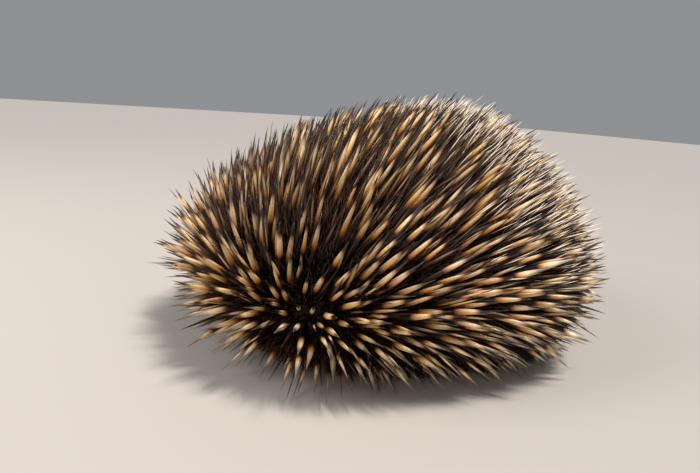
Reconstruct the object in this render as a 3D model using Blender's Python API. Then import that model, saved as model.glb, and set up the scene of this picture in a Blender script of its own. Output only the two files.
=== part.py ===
"""Short-beaked echidna, hunkered down with its head tucked under its coat of raised spines.

Metres, +Z up. The animal faces -Y and its left side is +X. The origin is on the floor, under
the middle of the outline. The outer solids reach the tips of the spines.
"""

import math

import bmesh
import bpy
from mathutils import Matrix, Vector

# Overall size, over the tips of the spines
LENGTH = 0.305
WIDTH = 0.292
HEIGHT = 0.178

# The dome of spines
FRONT_REACH = 0.203                        # from the widest place to the front
REAR_REACH = LENGTH - FRONT_REACH
WIDEST_Y = FRONT_REACH - LENGTH / 2
WIDEST_LEVEL = 0.057                       # height of the widest level
UNDER_DEPTH = 0.086                        # depth the lower half would have with no floor
CREST_SHIFT = 0.022                        # how far the crest lies behind the widest place
PLAN_POWER = 2.15
FRONT_POWER = 1.98                         # 2 is a round profile, less is more pointed
REAR_POWER = 1.58
LOWER_POWER = 2.30
SHOULDER_SWELL = 0.0065
HAUNCH_SWELL = 0.0035
DOME_SEGMENTS = 40
UPPER_RINGS = 10
LOWER_RINGS = 4

# The underside
HEM_CLEARANCE = 0.001                      # spine tips at the hem stop just over the floor
GROOVE_DEPTH = 0.0035                      # shallow hollow between the hem and the belly
GROOVE_OUTER = 0.90                        # places on the underside, as shares of the rim
GROOVE_INNER = 0.62
BELLY_EDGE = 0.34                          # inside this the belly lies flat on the floor
UNDER_RINGS = (0.96, GROOVE_OUTER, GROOVE_INNER, 0.47, BELLY_EDGE)

GAP = 0.0003                               # between pieces that touch

# Cuts across the body, each a place at mid height and a lean from upright
NECK_CUT = (-0.076, math.radians(-26))
SHOULDER_CUT = (-0.010, math.radians(-8))
RUMP_CUT = (0.066, math.radians(10))
CUT_MID_HEIGHT = 0.08
CUT_REACH = 0.25
CUT_FLOOR = -0.03

# Tail: a short cone of spines, low at the rear
TAIL_MIDDLE = Vector((0, 0.150, 0.026))
TAIL_HALF = Vector((0.034, 0.046, 0.036))

# Head, in its own frame: it looks along -Y, its left is +X
HEAD_PLACE = Vector((-0.031, -0.031, 0.0265))
HEAD_TURN = math.radians(-60)              # turned to its right
HEAD_DIP = math.radians(12.5)              # beak down
SKULL_HALF_WIDTH = 0.0245
SKULL_HALF_HEIGHT = 0.0215
SKULL_BACK = 0.029
SKULL_WIDEST = 0.003
SKULL_ROUNDNESS = 2.4                      # 2 is an elliptical back, more is fuller
SKULL_END_INSET = 0.0004                   # the last ring stops just short of the very back
FACE_FRONT = -0.036
BEAK_BASE_HALF = (0.0098, 0.0092)          # half width, half height
BEAK_TIP_HALF = (0.0042, 0.0036)
BEAK_LENGTH = 0.056
BEAK_RISE = 0.0030                         # how far the beak curves up
BEAK_NARROWED = 0.75                       # share of its length by which it has narrowed
BEAK_ROUNDED = (0.93, 0.075)               # where its end rounds off, and over what share
BROW_DROP = 0.0035                         # fall of the middle line from skull to beak
HEAD_CLEARANCE = 0.0052
HEAD_ROOM_AHEAD = 0.045
EYE_RADIUS = 0.0042
EYE_PLACE = Vector((0.0126, -0.0205, 0.0035))
EAR_PLACE = Vector((0.0222, 0.0095, 0.0015))
EAR_HALF_HEIGHT = 0.0090
EAR_BOW = 0.0045
EAR_THICK = (0.0030, 0.0016)               # half sizes across and along

# Legs: knee inside the body, ankle, toes, and the way the toes point
FORELEG_HALF = (0.0175, 0.0170)
HINDLEG_HALF = (0.0190, 0.0180)
PAW_HALF = (0.0150, 0.0085)
PAW_TOE_HEIGHT = 0.8                       # height of the toes' middle, as a share of the paw's
ANKLE_BACK = 0.010
ANKLE_RISE = 0.003
THIGH_REACH = 1.25                         # how soon the thigh narrows to the paw
LEG_CLEARANCE = 0.0031
LEGS = {
    "foreleg_l": dict(knee=(0.032, -0.010, 0.030), paw=(0.052, -0.037, 0.0075),
                      turn=math.radians(26), half=FORELEG_HALF),
    "foreleg_r": dict(knee=(-0.060, 0.016, 0.030), paw=(-0.090, 0.004, 0.0075),
                      turn=math.radians(-78), half=FORELEG_HALF),
    "hindleg_l": dict(knee=(0.038, 0.059, 0.032), paw=(0.055, 0.073, 0.0080),
                      turn=math.radians(118), half=HINDLEG_HALF),
    "hindleg_r": dict(knee=(-0.040, 0.060, 0.032), paw=(-0.060, 0.075, 0.0080),
                      turn=math.radians(-120), half=HINDLEG_HALF),
}

# Claws, from the inner toe to the outer one
CLAWS_PER_FOOT = 5
FORE_CLAW_LENGTHS = (0.015, 0.021, 0.024, 0.022, 0.016)
HIND_CLAW_LENGTHS = (0.013, 0.030, 0.024, 0.019, 0.015)
CLAW_HALF = (0.0026, 0.0020)
CLAW_TIP_HALF = 0.0005
CLAW_SPREAD = math.radians(13)
CLAW_ROOT_DEPTH = 0.004
CLAW_TAPER_START = 0.45                    # share of its length from which a claw narrows fast
TOE_ARC_RADIUS = 0.0155
TOE_FAN = 2.4                              # how much wider the toes fan than the claws
CLAW_FLOOR_GAP = 0.0006
CLAW_HOOK = 0.0035
CLAW_ROOM_HEIGHT = 0.0072
CLAW_ROOM_SPREADS = (1.25, 1.35)           # width at the toes and at the claw tips, over the paw
ROOM_FLOOR = -0.02                         # the hollows for head and legs are open below


def material(name, colour, roughness):
    """A plain finish for one sub-part."""
    finish = bpy.data.materials.new(name)
    finish.use_nodes = True
    shader = finish.node_tree.nodes["Principled BSDF"]
    shader.inputs["Base Color"].default_value = (*colour, 1)
    shader.inputs["Roughness"].default_value = roughness
    return finish


def add_object(name, shape, finish):
    """Puts a finished bmesh into the scene as one object."""
    bmesh.ops.recalc_face_normals(shape, faces=shape.faces)
    mesh = bpy.data.meshes.new(name)
    shape.to_mesh(mesh)
    shape.free()
    mesh.shade_smooth()
    mesh.set_sharp_from_angle(angle=math.radians(40))
    piece = bpy.data.objects.new(name, mesh)
    bpy.context.scene.collection.objects.link(piece)
    if finish is not None:
        mesh.materials.append(finish)
    return piece


def make_cutter(piece):
    """Turns an object into a guide that only cuts others."""
    piece.hide_render = True
    piece.display_type = "WIRE"
    return piece


def cut(piece, cutter, operation="DIFFERENCE"):
    """Adds one exact Boolean to a piece."""
    modifier = piece.modifiers.new(cutter.name, "BOOLEAN")
    modifier.operation = operation
    modifier.solver = "EXACT"
    modifier.object = cutter


def smooth_step(value):
    """Eases 0..1 with level ends."""
    value = min(max(value, 0.0), 1.0)
    return value * value * (3 - 2 * value)


def mix(start, end, share):
    """A value between two others."""
    return start + (end - start) * share


def super_round(cosine, sine, power):
    """Radius of a superellipse of unit half-axes in one direction."""
    return (abs(cosine) ** power + abs(sine) ** power) ** (-1 / power)


def dome_point(turn, climb):
    """A point on the envelope of the spines.

    turn goes round from +X, climb goes from the widest level (0) to the crest (90 degrees) or,
    when negative, down towards the floor.
    """
    plan = super_round(math.cos(turn), math.sin(turn), PLAN_POWER)
    frontness = 0.5 - 0.5 * math.sin(turn)
    power = mix(REAR_POWER, FRONT_POWER, frontness) if climb > 0 else LOWER_POWER
    profile = super_round(math.cos(climb), math.sin(climb), power)
    out = plan * profile * math.cos(climb)
    up = profile * math.sin(climb)
    reach = FRONT_REACH if math.sin(turn) < 0 else REAR_REACH
    swell = HAUNCH_SWELL if math.sin(turn) > 0 else SHOULDER_SWELL
    swell *= math.sin(2 * turn) ** 2 * math.cos(climb) ** 2
    across = (WIDTH / 2 + swell) * out * math.cos(turn)
    along = WIDEST_Y + (reach + swell) * out * math.sin(turn) + CREST_SHIFT * max(up, 0) ** 2
    height = (HEIGHT - WIDEST_LEVEL) if climb > 0 else UNDER_DEPTH
    return Vector((across, along, WIDEST_LEVEL + height * up))


def hem_climb():
    """The (negative) climb at which the envelope meets the hem level, by bisection."""
    low = -math.pi / 2
    high = 0.0
    for _ in range(40):
        middle = (low + high) / 2
        if dome_point(0, middle).z > HEM_CLEARANCE:
            high = middle
        else:
            low = middle
    return (low + high) / 2


def underside_height(share):
    """Height of the underside from the belly (0) to the hem (1)."""
    if share <= BELLY_EDGE:
        return 0.0
    if share <= GROOVE_INNER:
        return GROOVE_DEPTH * smooth_step((share - BELLY_EDGE) / (GROOVE_INNER - BELLY_EDGE))
    if share <= GROOVE_OUTER:
        return GROOVE_DEPTH
    return mix(GROOVE_DEPTH, HEM_CLEARANCE, smooth_step((share - GROOVE_OUTER) / (1 - GROOVE_OUTER)))


def dome_mesh():
    """The whole coat as one closed body: crest, sides, hem, groove and flat belly."""
    shape = bmesh.new()
    turns = [2 * math.pi * step / DOME_SEGMENTS for step in range(DOME_SEGMENTS)]
    lowest = hem_climb()
    climbs = [math.pi / 2 * step / UPPER_RINGS for step in range(UPPER_RINGS - 1, -1, -1)]
    climbs += [lowest * step / LOWER_RINGS for step in range(1, LOWER_RINGS + 1)]
    rings = [[dome_point(turn, climb) for turn in turns] for climb in climbs]
    rim = rings[-1]
    middle = Vector((0, WIDEST_Y - 0.02, 0))
    for share in UNDER_RINGS:
        ring = []
        for point in rim:
            place = middle.lerp(Vector((point.x, point.y, 0)), share)
            place.z = underside_height(share)
            ring.append(place)
        rings.append(ring)
    loops = [[shape.verts.new(point) for point in ring] for ring in rings]
    crest = shape.verts.new(dome_point(0, math.pi / 2))
    navel = shape.verts.new(middle)
    for step in range(DOME_SEGMENTS):
        following = (step + 1) % DOME_SEGMENTS
        shape.faces.new((crest, loops[0][step], loops[0][following]))
        shape.faces.new((navel, loops[-1][following], loops[-1][step]))
        for upper, lower in zip(loops, loops[1:]):
            shape.faces.new((upper[step], lower[step], lower[following], upper[following]))
    return shape


def ring_body(stations, segments, grow=0.0):
    """A closed body through elliptical rings.

    Each station is (centre, side direction, up direction, half width, half height).
    """
    shape = bmesh.new()
    loops = []
    for centre, side, up, half_width, half_height in stations:
        loop = []
        for step in range(segments):
            angle = 2 * math.pi * step / segments
            offset = side * (half_width + grow) * math.cos(angle)
            offset += up * (half_height + grow) * math.sin(angle)
            loop.append(shape.verts.new(centre + offset))
        loops.append(loop)
    for first, second in zip(loops, loops[1:]):
        for step in range(segments):
            following = (step + 1) % segments
            shape.faces.new((first[step], first[following], second[following], second[step]))
    shape.faces.new(list(reversed(loops[0])))
    shape.faces.new(loops[-1])
    return shape


def tunnel(stations, segments, grow=0.0):
    """A guide with a round roof and upright walls that run down through the floor."""
    shape = ring_body(stations, segments, grow)
    shape.verts.ensure_lookup_table()
    for ring in range(len(stations)):
        for step in range(segments):
            if math.sin(2 * math.pi * step / segments) < -0.01:
                shape.verts[ring * segments + step].co.z = ROOM_FLOOR
    return shape


def flatten_below(shape, level):
    """Cuts a shape off flat at a level and closes it."""
    geometry = list(shape.verts) + list(shape.edges) + list(shape.faces)
    bmesh.ops.bisect_plane(shape, geom=geometry, dist=1e-7, plane_co=(0, 0, level),
                           plane_no=(0, 0, 1), clear_inner=True)
    open_edges = [edge for edge in shape.edges if edge.is_boundary]
    bmesh.ops.contextual_create(shape, geom=open_edges)


def ball(centre, halves, segments=16, rings=10, grow=0.0):
    """An ellipsoid."""
    shape = bmesh.new()
    bmesh.ops.create_uvsphere(shape, u_segments=segments, v_segments=rings, radius=1.0)
    bmesh.ops.scale(shape, vec=halves + Vector((grow, grow, grow)), verts=shape.verts)
    bmesh.ops.translate(shape, vec=centre, verts=shape.verts)
    return shape


def cross_slab(name, front_cut, rear_cut):
    """A guide that holds the body between two leaning cuts, half a gap back from each."""
    shape = bmesh.new()
    corners = []
    for height in (CUT_FLOOR, CUT_REACH):
        for across in (-CUT_REACH, CUT_REACH):
            for cut_place, inwards in ((front_cut, 1), (rear_cut, -1)):
                place, lean = cut_place
                along = place + (height - CUT_MID_HEIGHT) * math.tan(lean)
                along += inwards * GAP / 2 / math.cos(lean)
                corners.append(shape.verts.new((across, along, height)))
    bmesh.ops.convex_hull(shape, input=corners)
    return make_cutter(add_object(name, shape, None))


# ---------------------------------------------------------------- head

HEAD_FRAME = (Matrix.Translation(HEAD_PLACE) @ Matrix.Rotation(HEAD_TURN, 4, "Z")
              @ Matrix.Rotation(HEAD_DIP, 4, "X"))
SIDE = Vector((1, 0, 0))
UP = Vector((0, 0, 1))


def skull_halves(along):
    """Half width and half height of the head at a place along it."""
    if along >= SKULL_WIDEST:
        share = (along - SKULL_WIDEST) / (SKULL_BACK - SKULL_WIDEST)
        round_off = math.sqrt(max(1 - share ** SKULL_ROUNDNESS, 0.0))
        return SKULL_HALF_WIDTH * round_off, SKULL_HALF_HEIGHT * round_off
    share = smooth_step((SKULL_WIDEST - along) / (SKULL_WIDEST - FACE_FRONT))
    return (mix(SKULL_HALF_WIDTH, BEAK_BASE_HALF[0], share),
            mix(SKULL_HALF_HEIGHT, BEAK_BASE_HALF[1], share))


def head_line(along):
    """Height of the head's middle line: the brow falls to the beak, which curves up again."""
    if along > FACE_FRONT:
        return -BROW_DROP * smooth_step((SKULL_WIDEST - along) / (SKULL_WIDEST - FACE_FRONT))
    share = (FACE_FRONT - along) / BEAK_LENGTH
    return -BROW_DROP + BEAK_RISE * share * share


def head_shape():
    """The head from the back of the skull to the base of the beak, with closer rings behind."""
    rings = 12
    stations = []
    for step in range(rings):
        share = (step / (rings - 1)) ** 1.25
        along = mix(SKULL_BACK - SKULL_END_INSET, FACE_FRONT, share)
        half_width, half_height = skull_halves(along)
        stations.append((Vector((0, along, head_line(along))), SIDE, UP, half_width, half_height))
    return ring_body(stations, 20)


def beak_halves(share):
    """Half width and half height of the beak, from its base (0) to its tip (1)."""
    slim = 1 - (1 - min(share / BEAK_NARROWED, 1.0)) ** 2
    return (mix(BEAK_BASE_HALF[0], BEAK_TIP_HALF[0], slim),
            mix(BEAK_BASE_HALF[1], BEAK_TIP_HALF[1], slim))


def beak_shape():
    """The slender beak, rounded at its tip."""
    rings = 11
    stations = []
    for step in range(rings):
        share = step / (rings - 1)
        along = FACE_FRONT - GAP - BEAK_LENGTH * share
        half_width, half_height = beak_halves(share)
        past_end = max((share - BEAK_ROUNDED[0]) / BEAK_ROUNDED[1], 0.0)
        round_off = math.sqrt(max(1 - past_end ** 2, 0.0))
        stations.append((Vector((0, along, head_line(along))), SIDE, UP,
                         half_width * round_off, half_height * round_off))
    return ring_body(stations, 14)


def ear_shape(side, grow=0.0):
    """The raised fold round one ear slit, a bowed upright ridge."""
    rings = 7
    stations = []
    for step in range(rings):
        share = step / (rings - 1)
        swing = (share - 0.5) * 2
        centre = Vector((side * EAR_PLACE.x, EAR_PLACE.y + EAR_BOW * swing * swing,
                         EAR_PLACE.z + EAR_HALF_HEIGHT * swing))
        thick = math.sqrt(1 - (swing * 0.93) ** 2)
        stations.append((centre, SIDE, Vector((0, 1, 0)), EAR_THICK[0] * thick,
                         EAR_THICK[1] * thick))
    return ring_body(stations, 8, grow)


def place_head(shape):
    """Moves a shape from the head's frame to the body's."""
    bmesh.ops.transform(shape, matrix=HEAD_FRAME, verts=shape.verts)
    return shape


def build_head(fur, bare_skin, wet):
    """Head, beak, two eyes and two ears. The head is cut for the eyes and ears."""
    head = add_object("head", place_head(head_shape()), fur)
    add_object("beak", place_head(beak_shape()), bare_skin)
    for tag, side in (("l", 1), ("r", -1)):
        centre = Vector((side * EYE_PLACE.x, EYE_PLACE.y, EYE_PLACE.z))
        halves = Vector((EYE_RADIUS, EYE_RADIUS, EYE_RADIUS))
        add_object("eye_" + tag, place_head(ball(centre, halves, 12, 8)), wet)
        socket = ball(centre, halves, 12, 8, grow=GAP)
        cut(head, make_cutter(add_object("socket_" + tag, place_head(socket), None)))
        add_object("ear_" + tag, place_head(ear_shape(side)), fur)
        slot = ear_shape(side, grow=GAP)
        cut(head, make_cutter(add_object("ear_slot_" + tag, place_head(slot), None)))


def head_room():
    """The hollow under the nape that holds the head and lets the beak out."""
    rings = 16
    back = SKULL_BACK + HEAD_CLEARANCE
    front = FACE_FRONT - BEAK_LENGTH - HEAD_ROOM_AHEAD
    side = HEAD_FRAME.to_3x3() @ SIDE
    stations = []
    for step in range(rings):
        along = mix(back, front, step / (rings - 1))
        if along > FACE_FRONT:
            half_width, half_height = skull_halves(min(along, SKULL_WIDEST))
        else:
            half_width, half_height = beak_halves((FACE_FRONT - along) / BEAK_LENGTH)
        narrowing = 1.0
        if along > SKULL_WIDEST:
            narrowing = math.sqrt(1 - 0.8 * ((along - SKULL_WIDEST) / (back - SKULL_WIDEST)) ** 2)
        line = head_line(max(along, FACE_FRONT - BEAK_LENGTH))
        centre = HEAD_FRAME @ Vector((0, along, line))
        stations.append((centre, side, UP, half_width * narrowing, half_height * narrowing))
    return tunnel(stations, 16, HEAD_CLEARANCE)


# ---------------------------------------------------------------- legs and claws

def ways(turn):
    """The way ahead and the way to the side for a foot that points along a turn."""
    ahead = Vector((math.sin(turn), -math.cos(turn), 0))
    return ahead, Vector((ahead.y, -ahead.x, 0))


def leg_stations(leg):
    """Upright rings from inside the body, down to the ankle and out to the toes."""
    ahead, side = ways(leg["turn"])
    knee = Vector(leg["knee"])
    paw = Vector(leg["paw"])
    ankle = paw - ahead * ANKLE_BACK
    ankle.z = paw.z + ANKLE_RISE
    toes = paw + ahead * TOE_ARC_RADIUS
    toes.z = PAW_HALF[1] * PAW_TOE_HEIGHT
    rings = 10
    stations = []
    for step in range(rings):
        share = step / (rings - 1)
        centre = knee.lerp(ankle, share).lerp(ankle.lerp(toes, share), share)
        narrowing = smooth_step(share * THIGH_REACH)
        half_width = mix(leg["half"][0], PAW_HALF[0], narrowing)
        half_height = mix(leg["half"][1], PAW_HALF[1], narrowing)
        round_off = math.sqrt(max(1 - max((share - 0.70) / 0.31, 0.0) ** 2.2, 0.0))
        round_off *= math.sqrt(max(1 - max((0.24 - share) / 0.26, 0.0) ** 2.2, 0.0))
        stations.append((centre, side, UP, half_width * round_off, half_height * round_off))
    return stations


def leg_shape(leg):
    """A short stout leg that ends in a broad paw with a flat sole."""
    shape = ring_body(leg_stations(leg), 14)
    flatten_below(shape, 0.0)
    return shape


def leg_room(leg, claw_reach):
    """The hollow under the coat for one leg and its claws."""
    ahead, side = ways(leg["turn"])
    stations = leg_stations(leg)
    toes = Vector(leg["paw"]) + ahead * TOE_ARC_RADIUS
    widest = max(station[3] for station in stations[-5:])
    last = next(index for index, station in enumerate(stations)
                if index > 5 and station[3] < widest * 0.9)
    stations = stations[:last]
    for reach, spread in zip((0.0, claw_reach + LEG_CLEARANCE), CLAW_ROOM_SPREADS):
        centre = toes + ahead * reach
        centre.z = CLAW_ROOM_HEIGHT / 2
        stations.append((centre, side, UP, PAW_HALF[0] * spread, CLAW_ROOM_HEIGHT / 2))
    return tunnel(stations, 12, LEG_CLEARANCE)


def claw_shape(leg, toe, length, grow=0.0):
    """One claw: a broad, flattened, gently hooked spade that tapers to a blunt point."""
    spread = (toe - (CLAWS_PER_FOOT - 1) / 2) * math.copysign(CLAW_SPREAD, leg["turn"])
    ahead, side = ways(leg["turn"] + spread)
    root_way, _ = ways(leg["turn"] + spread * TOE_FAN)
    root = Vector(leg["paw"]) + root_way * (TOE_ARC_RADIUS - CLAW_ROOT_DEPTH)
    reach = length + CLAW_ROOT_DEPTH
    rings = 6
    stations = []
    for step in range(rings):
        share = step / (rings - 1)
        past_start = max(share - CLAW_TAPER_START, 0.0) / (1 - CLAW_TAPER_START)
        taper = 1 - 0.25 * share - 0.75 * past_start
        half_width = max(CLAW_HALF[0] * taper, CLAW_TIP_HALF)
        half_height = max(CLAW_HALF[1] * taper, CLAW_TIP_HALF)
        centre = root + ahead * reach * share
        centre.z = CLAW_FLOOR_GAP + half_height + CLAW_HOOK * 0.6 * (1 - share * share)
        stations.append((centre, side, UP, half_width, half_height))
    return ring_body(stations, 6, grow)


def join_shapes(shapes):
    """Several loose closed shapes in one guide."""
    joined = bmesh.new()
    for shape in shapes:
        mesh = bpy.data.meshes.new("guide_part")
        shape.to_mesh(mesh)
        shape.free()
        joined.from_mesh(mesh)
        bpy.data.meshes.remove(mesh)
    return joined


def claw_lengths(leg_name):
    """Lengths of the claws on one leg."""
    return FORE_CLAW_LENGTHS if leg_name.startswith("fore") else HIND_CLAW_LENGTHS


def build_legs(fur, horn):
    """Four legs with five claws each. Each leg is cut for the roots of its claws."""
    for name, leg in LEGS.items():
        piece = add_object(name, leg_shape(leg), fur)
        roots = []
        for toe, length in enumerate(claw_lengths(name)):
            claw_name = name.replace("leg", "claw") + "_" + str(toe + 1)
            add_object(claw_name, claw_shape(leg, toe, length), horn)
            roots.append(claw_shape(leg, toe, length, grow=GAP))
        guide = make_cutter(add_object(name + "_claw_roots", join_shapes(roots), None))
        cut(piece, guide)


# ---------------------------------------------------------------- coat

def build_coat(spines, tail_finish):
    """The spiny body in five lengths, cut clear of the head and the legs."""
    rooms = [make_cutter(add_object("head_room", head_room(), None))]
    for name, leg in LEGS.items():
        room = leg_room(leg, max(claw_lengths(name)))
        rooms.append(make_cutter(add_object(name + "_room", room, None)))
    front_end = (-CUT_REACH, 0.0)
    rear_end = (CUT_REACH, 0.0)
    lengths_of_body = {
        "neck": (front_end, NECK_CUT),
        "shoulders": (NECK_CUT, SHOULDER_CUT),
        "trunk": (SHOULDER_CUT, RUMP_CUT),
        "rump": (RUMP_CUT, rear_end),
    }
    for name, (front_cut, rear_cut) in lengths_of_body.items():
        piece = add_object(name, dome_mesh(), spines)
        cut(piece, cross_slab(name + "_slab", front_cut, rear_cut), "INTERSECT")
        for room in rooms:
            cut(piece, room)
        if name == "rump":
            hollow = add_object("tail_room", ball(TAIL_MIDDLE, TAIL_HALF, grow=GAP), None)
            cut(piece, make_cutter(hollow))
    tail = add_object("tail", dome_mesh(), tail_finish)
    outline = make_cutter(add_object("tail_outline", ball(TAIL_MIDDLE, TAIL_HALF), None))
    cut(tail, outline, "INTERSECT")


def main():
    """Clears the scene and builds the animal."""
    for piece in list(bpy.data.objects):
        bpy.data.objects.remove(piece, do_unlink=True)
    spines = material("spines", (0.42, 0.27, 0.12), 0.5)
    tail_finish = material("tail spines", (0.36, 0.22, 0.10), 0.5)
    fur = material("dark fur", (0.035, 0.024, 0.018), 0.85)
    bare_skin = material("beak skin", (0.05, 0.045, 0.045), 0.5)
    horn = material("horn", (0.12, 0.10, 0.09), 0.45)
    wet = material("eye", (0.01, 0.008, 0.007), 0.08)
    build_coat(spines, tail_finish)
    build_head(fur, bare_skin, wet)
    build_legs(fur, horn)


main()
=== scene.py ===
"""A hunkered short-beaked echidna: one skin, its spines and fur, beak, eyes and claws.

Everything is in metres in the row's frame, +Z up. The animal faces -Y and its left is +X.
"""

import logging
import math
from collections.abc import Callable
from dataclasses import dataclass, fields
from enum import Enum
from itertools import product

import bmesh
import bpy
import numpy as np
from mathutils import Matrix, Vector


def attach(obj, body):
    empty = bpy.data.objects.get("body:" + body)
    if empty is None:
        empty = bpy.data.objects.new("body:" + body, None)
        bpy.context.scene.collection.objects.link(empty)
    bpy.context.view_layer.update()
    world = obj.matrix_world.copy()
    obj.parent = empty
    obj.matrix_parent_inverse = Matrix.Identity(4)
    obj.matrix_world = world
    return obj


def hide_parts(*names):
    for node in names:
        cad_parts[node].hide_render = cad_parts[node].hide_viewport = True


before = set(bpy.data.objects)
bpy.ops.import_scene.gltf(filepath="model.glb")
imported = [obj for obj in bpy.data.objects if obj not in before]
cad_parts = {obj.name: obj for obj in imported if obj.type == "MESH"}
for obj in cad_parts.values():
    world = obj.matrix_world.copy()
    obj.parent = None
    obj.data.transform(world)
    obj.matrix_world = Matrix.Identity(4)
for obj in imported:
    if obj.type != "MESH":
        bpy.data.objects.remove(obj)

LOG = logging.getLogger("echidna")
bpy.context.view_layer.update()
BODY = "root"
BAKE_MAP = "OFBake"
PER_METRE = 1000.0  # millimetres
SHADER = "Principled BSDF"
RAMP_STARTS_WITH = 2  # stops of a new colour ramp
NEARLY = 1e-5  # how near two levels are that count as one
SIDE, BACK, UP = Vector((1, 0, 0)), Vector((0, 1, 0)), Vector((0, 0, 1))
SKIN_LEVEL = 0.0004  # of the flats that the skin rests on
FLOOR_GAP = 0.0006  # the lowest that a strand's tip comes to the floor
LOWEST_MIDDLE = 0.004  # the lowest middle of a spine
TRIES = 14  # places tried for each that keeps its distance
GRID = (181, 113)  # corners round and up, of the grid that spreads the coat evenly
CLIMBS = (-78.0, 89.9)  # its lowest and highest climb in degrees
MAP_LOWEST = math.radians(80)  # how far below its widest level the skin is on the bake map
MAP_RADIUS = 0.485  # of the skin on that map
BAND_END = 0.78  # where along a spine its pale band gives way to the tip

Pair = tuple[float, float]
Place = tuple[float, float, float]
Stops = tuple[tuple[float, str], ...]  # places from 0 to 1 on a ramp, with sRGB hex values
Colour = tuple[float, float, float, float]


class CoatKind(Enum):
    """The kinds of strand that the coat is made of."""

    SPINE = "spines"
    BRISTLE = "bristles"
    FUR = "hairs"


# ------------------------------------------------------------------ small helpers


def linear_colour(code: str) -> Colour:
    """Turns an sRGB hex value into linear colour.

    Args:
        code: Six hex digits, with or without a leading #.

    Returns:
        Red, green, blue and an alpha of 1.
    """
    digits = code.lstrip("#")
    values = [int(digits[place:place + 2], 16) / 255 for place in (0, 2, 4)]
    return (*[v / 12.92 if v <= 0.04045 else ((v + 0.055) / 1.055) ** 2.4 for v in values], 1.0)


def set_inputs(node: bpy.types.Node, **inputs: object) -> None:
    """Sets a node's sockets, or links them.

    Args:
        node: The node.
        inputs: Values or output sockets, by socket name or as _0, _1 for a place in the list.
    """
    for key, value in inputs.items():
        place = int(key[1:]) if key.startswith("_") else key.replace("_", " ")
        socket = node.inputs[place]
        if isinstance(value, bpy.types.NodeSocket):
            node.id_data.links.new(value, socket)
        else:
            socket.default_value = value


def add_node(tree: bpy.types.NodeTree, kind: str, output: str | int = 0, stops: Stops = (),
             settings: dict[str, str] | None = None, **inputs: object) -> bpy.types.NodeSocket:
    """Adds one shader node, with its settings, socket values and links.

    Args:
        tree: The node tree.
        kind: The node's type name, without ShaderNode before it.
        output: The output that is wanted, by its name or place in the list.
        stops: The colours of a ramp.
        settings: The node's own properties.
        inputs: As for set_inputs.

    Returns:
        That output.
    """
    node = tree.nodes.new("ShaderNode" + kind)
    for key, value in (settings or {}).items():
        setattr(node, key, value)
    for _ in stops[RAMP_STARTS_WITH:]:
        node.color_ramp.elements.new(0.5)
    for rank, (place, code) in enumerate(stops):
        element = node.color_ramp.elements[rank]
        element.position, element.color = place, linear_colour(code)
    set_inputs(node, **inputs)
    return node.outputs[output]


def new_finish(name: str) -> tuple[bpy.types.Material, bpy.types.NodeTree]:
    """Starts a material.

    Args:
        name: Its name.

    Returns:
        The material and its nodes.
    """
    finish = bpy.data.materials.new(name)
    finish.use_nodes = True
    return finish, finish.node_tree


def ease(value: np.ndarray | float, none_at: float, full_at: float) -> np.ndarray:
    """Eases from 0 at one value to 1 at another, with level ends."""
    share = np.clip((value - none_at) / (full_at - none_at), 0.0, 1.0)
    return share * share * (3 - 2 * share)


def mix(start: float, end: float, share: np.ndarray | float) -> np.ndarray | float:
    """A value between two others."""
    return start + (end - start) * share


def unit(vectors: np.ndarray) -> np.ndarray:
    """Scales vectors, along the last axis, to length 1."""
    return vectors / (np.linalg.norm(vectors, axis=-1, keepdims=True) + 1e-12)


def shares(rings: int) -> list[float]:
    """Even shares from 0 to 1, one for each ring of a lofted shape."""
    return [ring / (rings - 1) for ring in range(rings)]


def new_ball(columns: int, rows: int, radius: float = 1.0) -> bmesh.types.BMesh:
    """A ball round the origin, its poles on Z.

    Args:
        columns: Its faces round.
        rows: Its faces from pole to pole.
        radius: Its radius.

    Returns:
        The closed shape.
    """
    shape = bmesh.new()
    bmesh.ops.create_uvsphere(shape, u_segments=columns, v_segments=rows, radius=radius)
    return shape


def new_object(name: str, data: bpy.types.ID) -> bpy.types.Object:
    """Makes an object at the origin and puts it in the scene.

    Args:
        name: Its name.
        data: Its mesh, lamp or camera.

    Returns:
        The new object.
    """
    made = bpy.data.objects.new(name, data)
    bpy.context.scene.collection.objects.link(made)
    return made


def new_piece(name: str, mesh: bpy.types.Mesh, finish: bpy.types.Material) -> bpy.types.Object:
    """Puts a finished mesh in the scene, riding on the body, and reports it.

    Args:
        name: The piece's name.
        mesh: Its mesh, in the row's frame.
        finish: Its material.

    Returns:
        The new object.
    """
    piece = new_object(name, mesh)
    mesh.materials.clear()
    mesh.materials.append(finish)
    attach(piece, BODY)
    LOG.info("%s: %d faces", name, len(mesh.polygons))
    return piece


def shape_to_mesh(name: str, shape: bmesh.types.BMesh) -> bpy.types.Mesh:
    """Turns a closed bmesh into a smooth mesh whose faces point out, and frees it.

    Args:
        name: The mesh's name.
        shape: The closed shape.

    Returns:
        The mesh.
    """
    bmesh.ops.recalc_face_normals(shape, faces=shape.faces)
    mesh = bpy.data.meshes.new(name)
    shape.to_mesh(mesh)
    shape.free()
    mesh.shade_smooth()
    return mesh


def placing(side: Vector, up: Vector, along: Vector, centre: Vector) -> Matrix:
    """The placing of something whose own X, Y and Z become three given axes.

    Args:
        side: Where its X goes.
        up: Where its Y goes.
        along: Where its Z goes.
        centre: Where its middle goes.

    Returns:
        The matrix.
    """
    columns = Matrix((side, up, along)).transposed()
    return Matrix.Translation(centre) @ columns.to_4x4()


def station(centre: Vector, side: Vector, up: Vector, half_width: float,
            half_height: float) -> Matrix:
    """The placing of one ring of a lofted shape.

    Args:
        centre: Middle of the ring.
        side: Direction of the ring's width.
        up: Direction of the ring's height.
        half_width: Half the width.
        half_height: Half the height.

    Returns:
        A matrix that carries a unit circle to the ring.
    """
    return placing(side * half_width, up * half_height, side.cross(up), centre)


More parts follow.
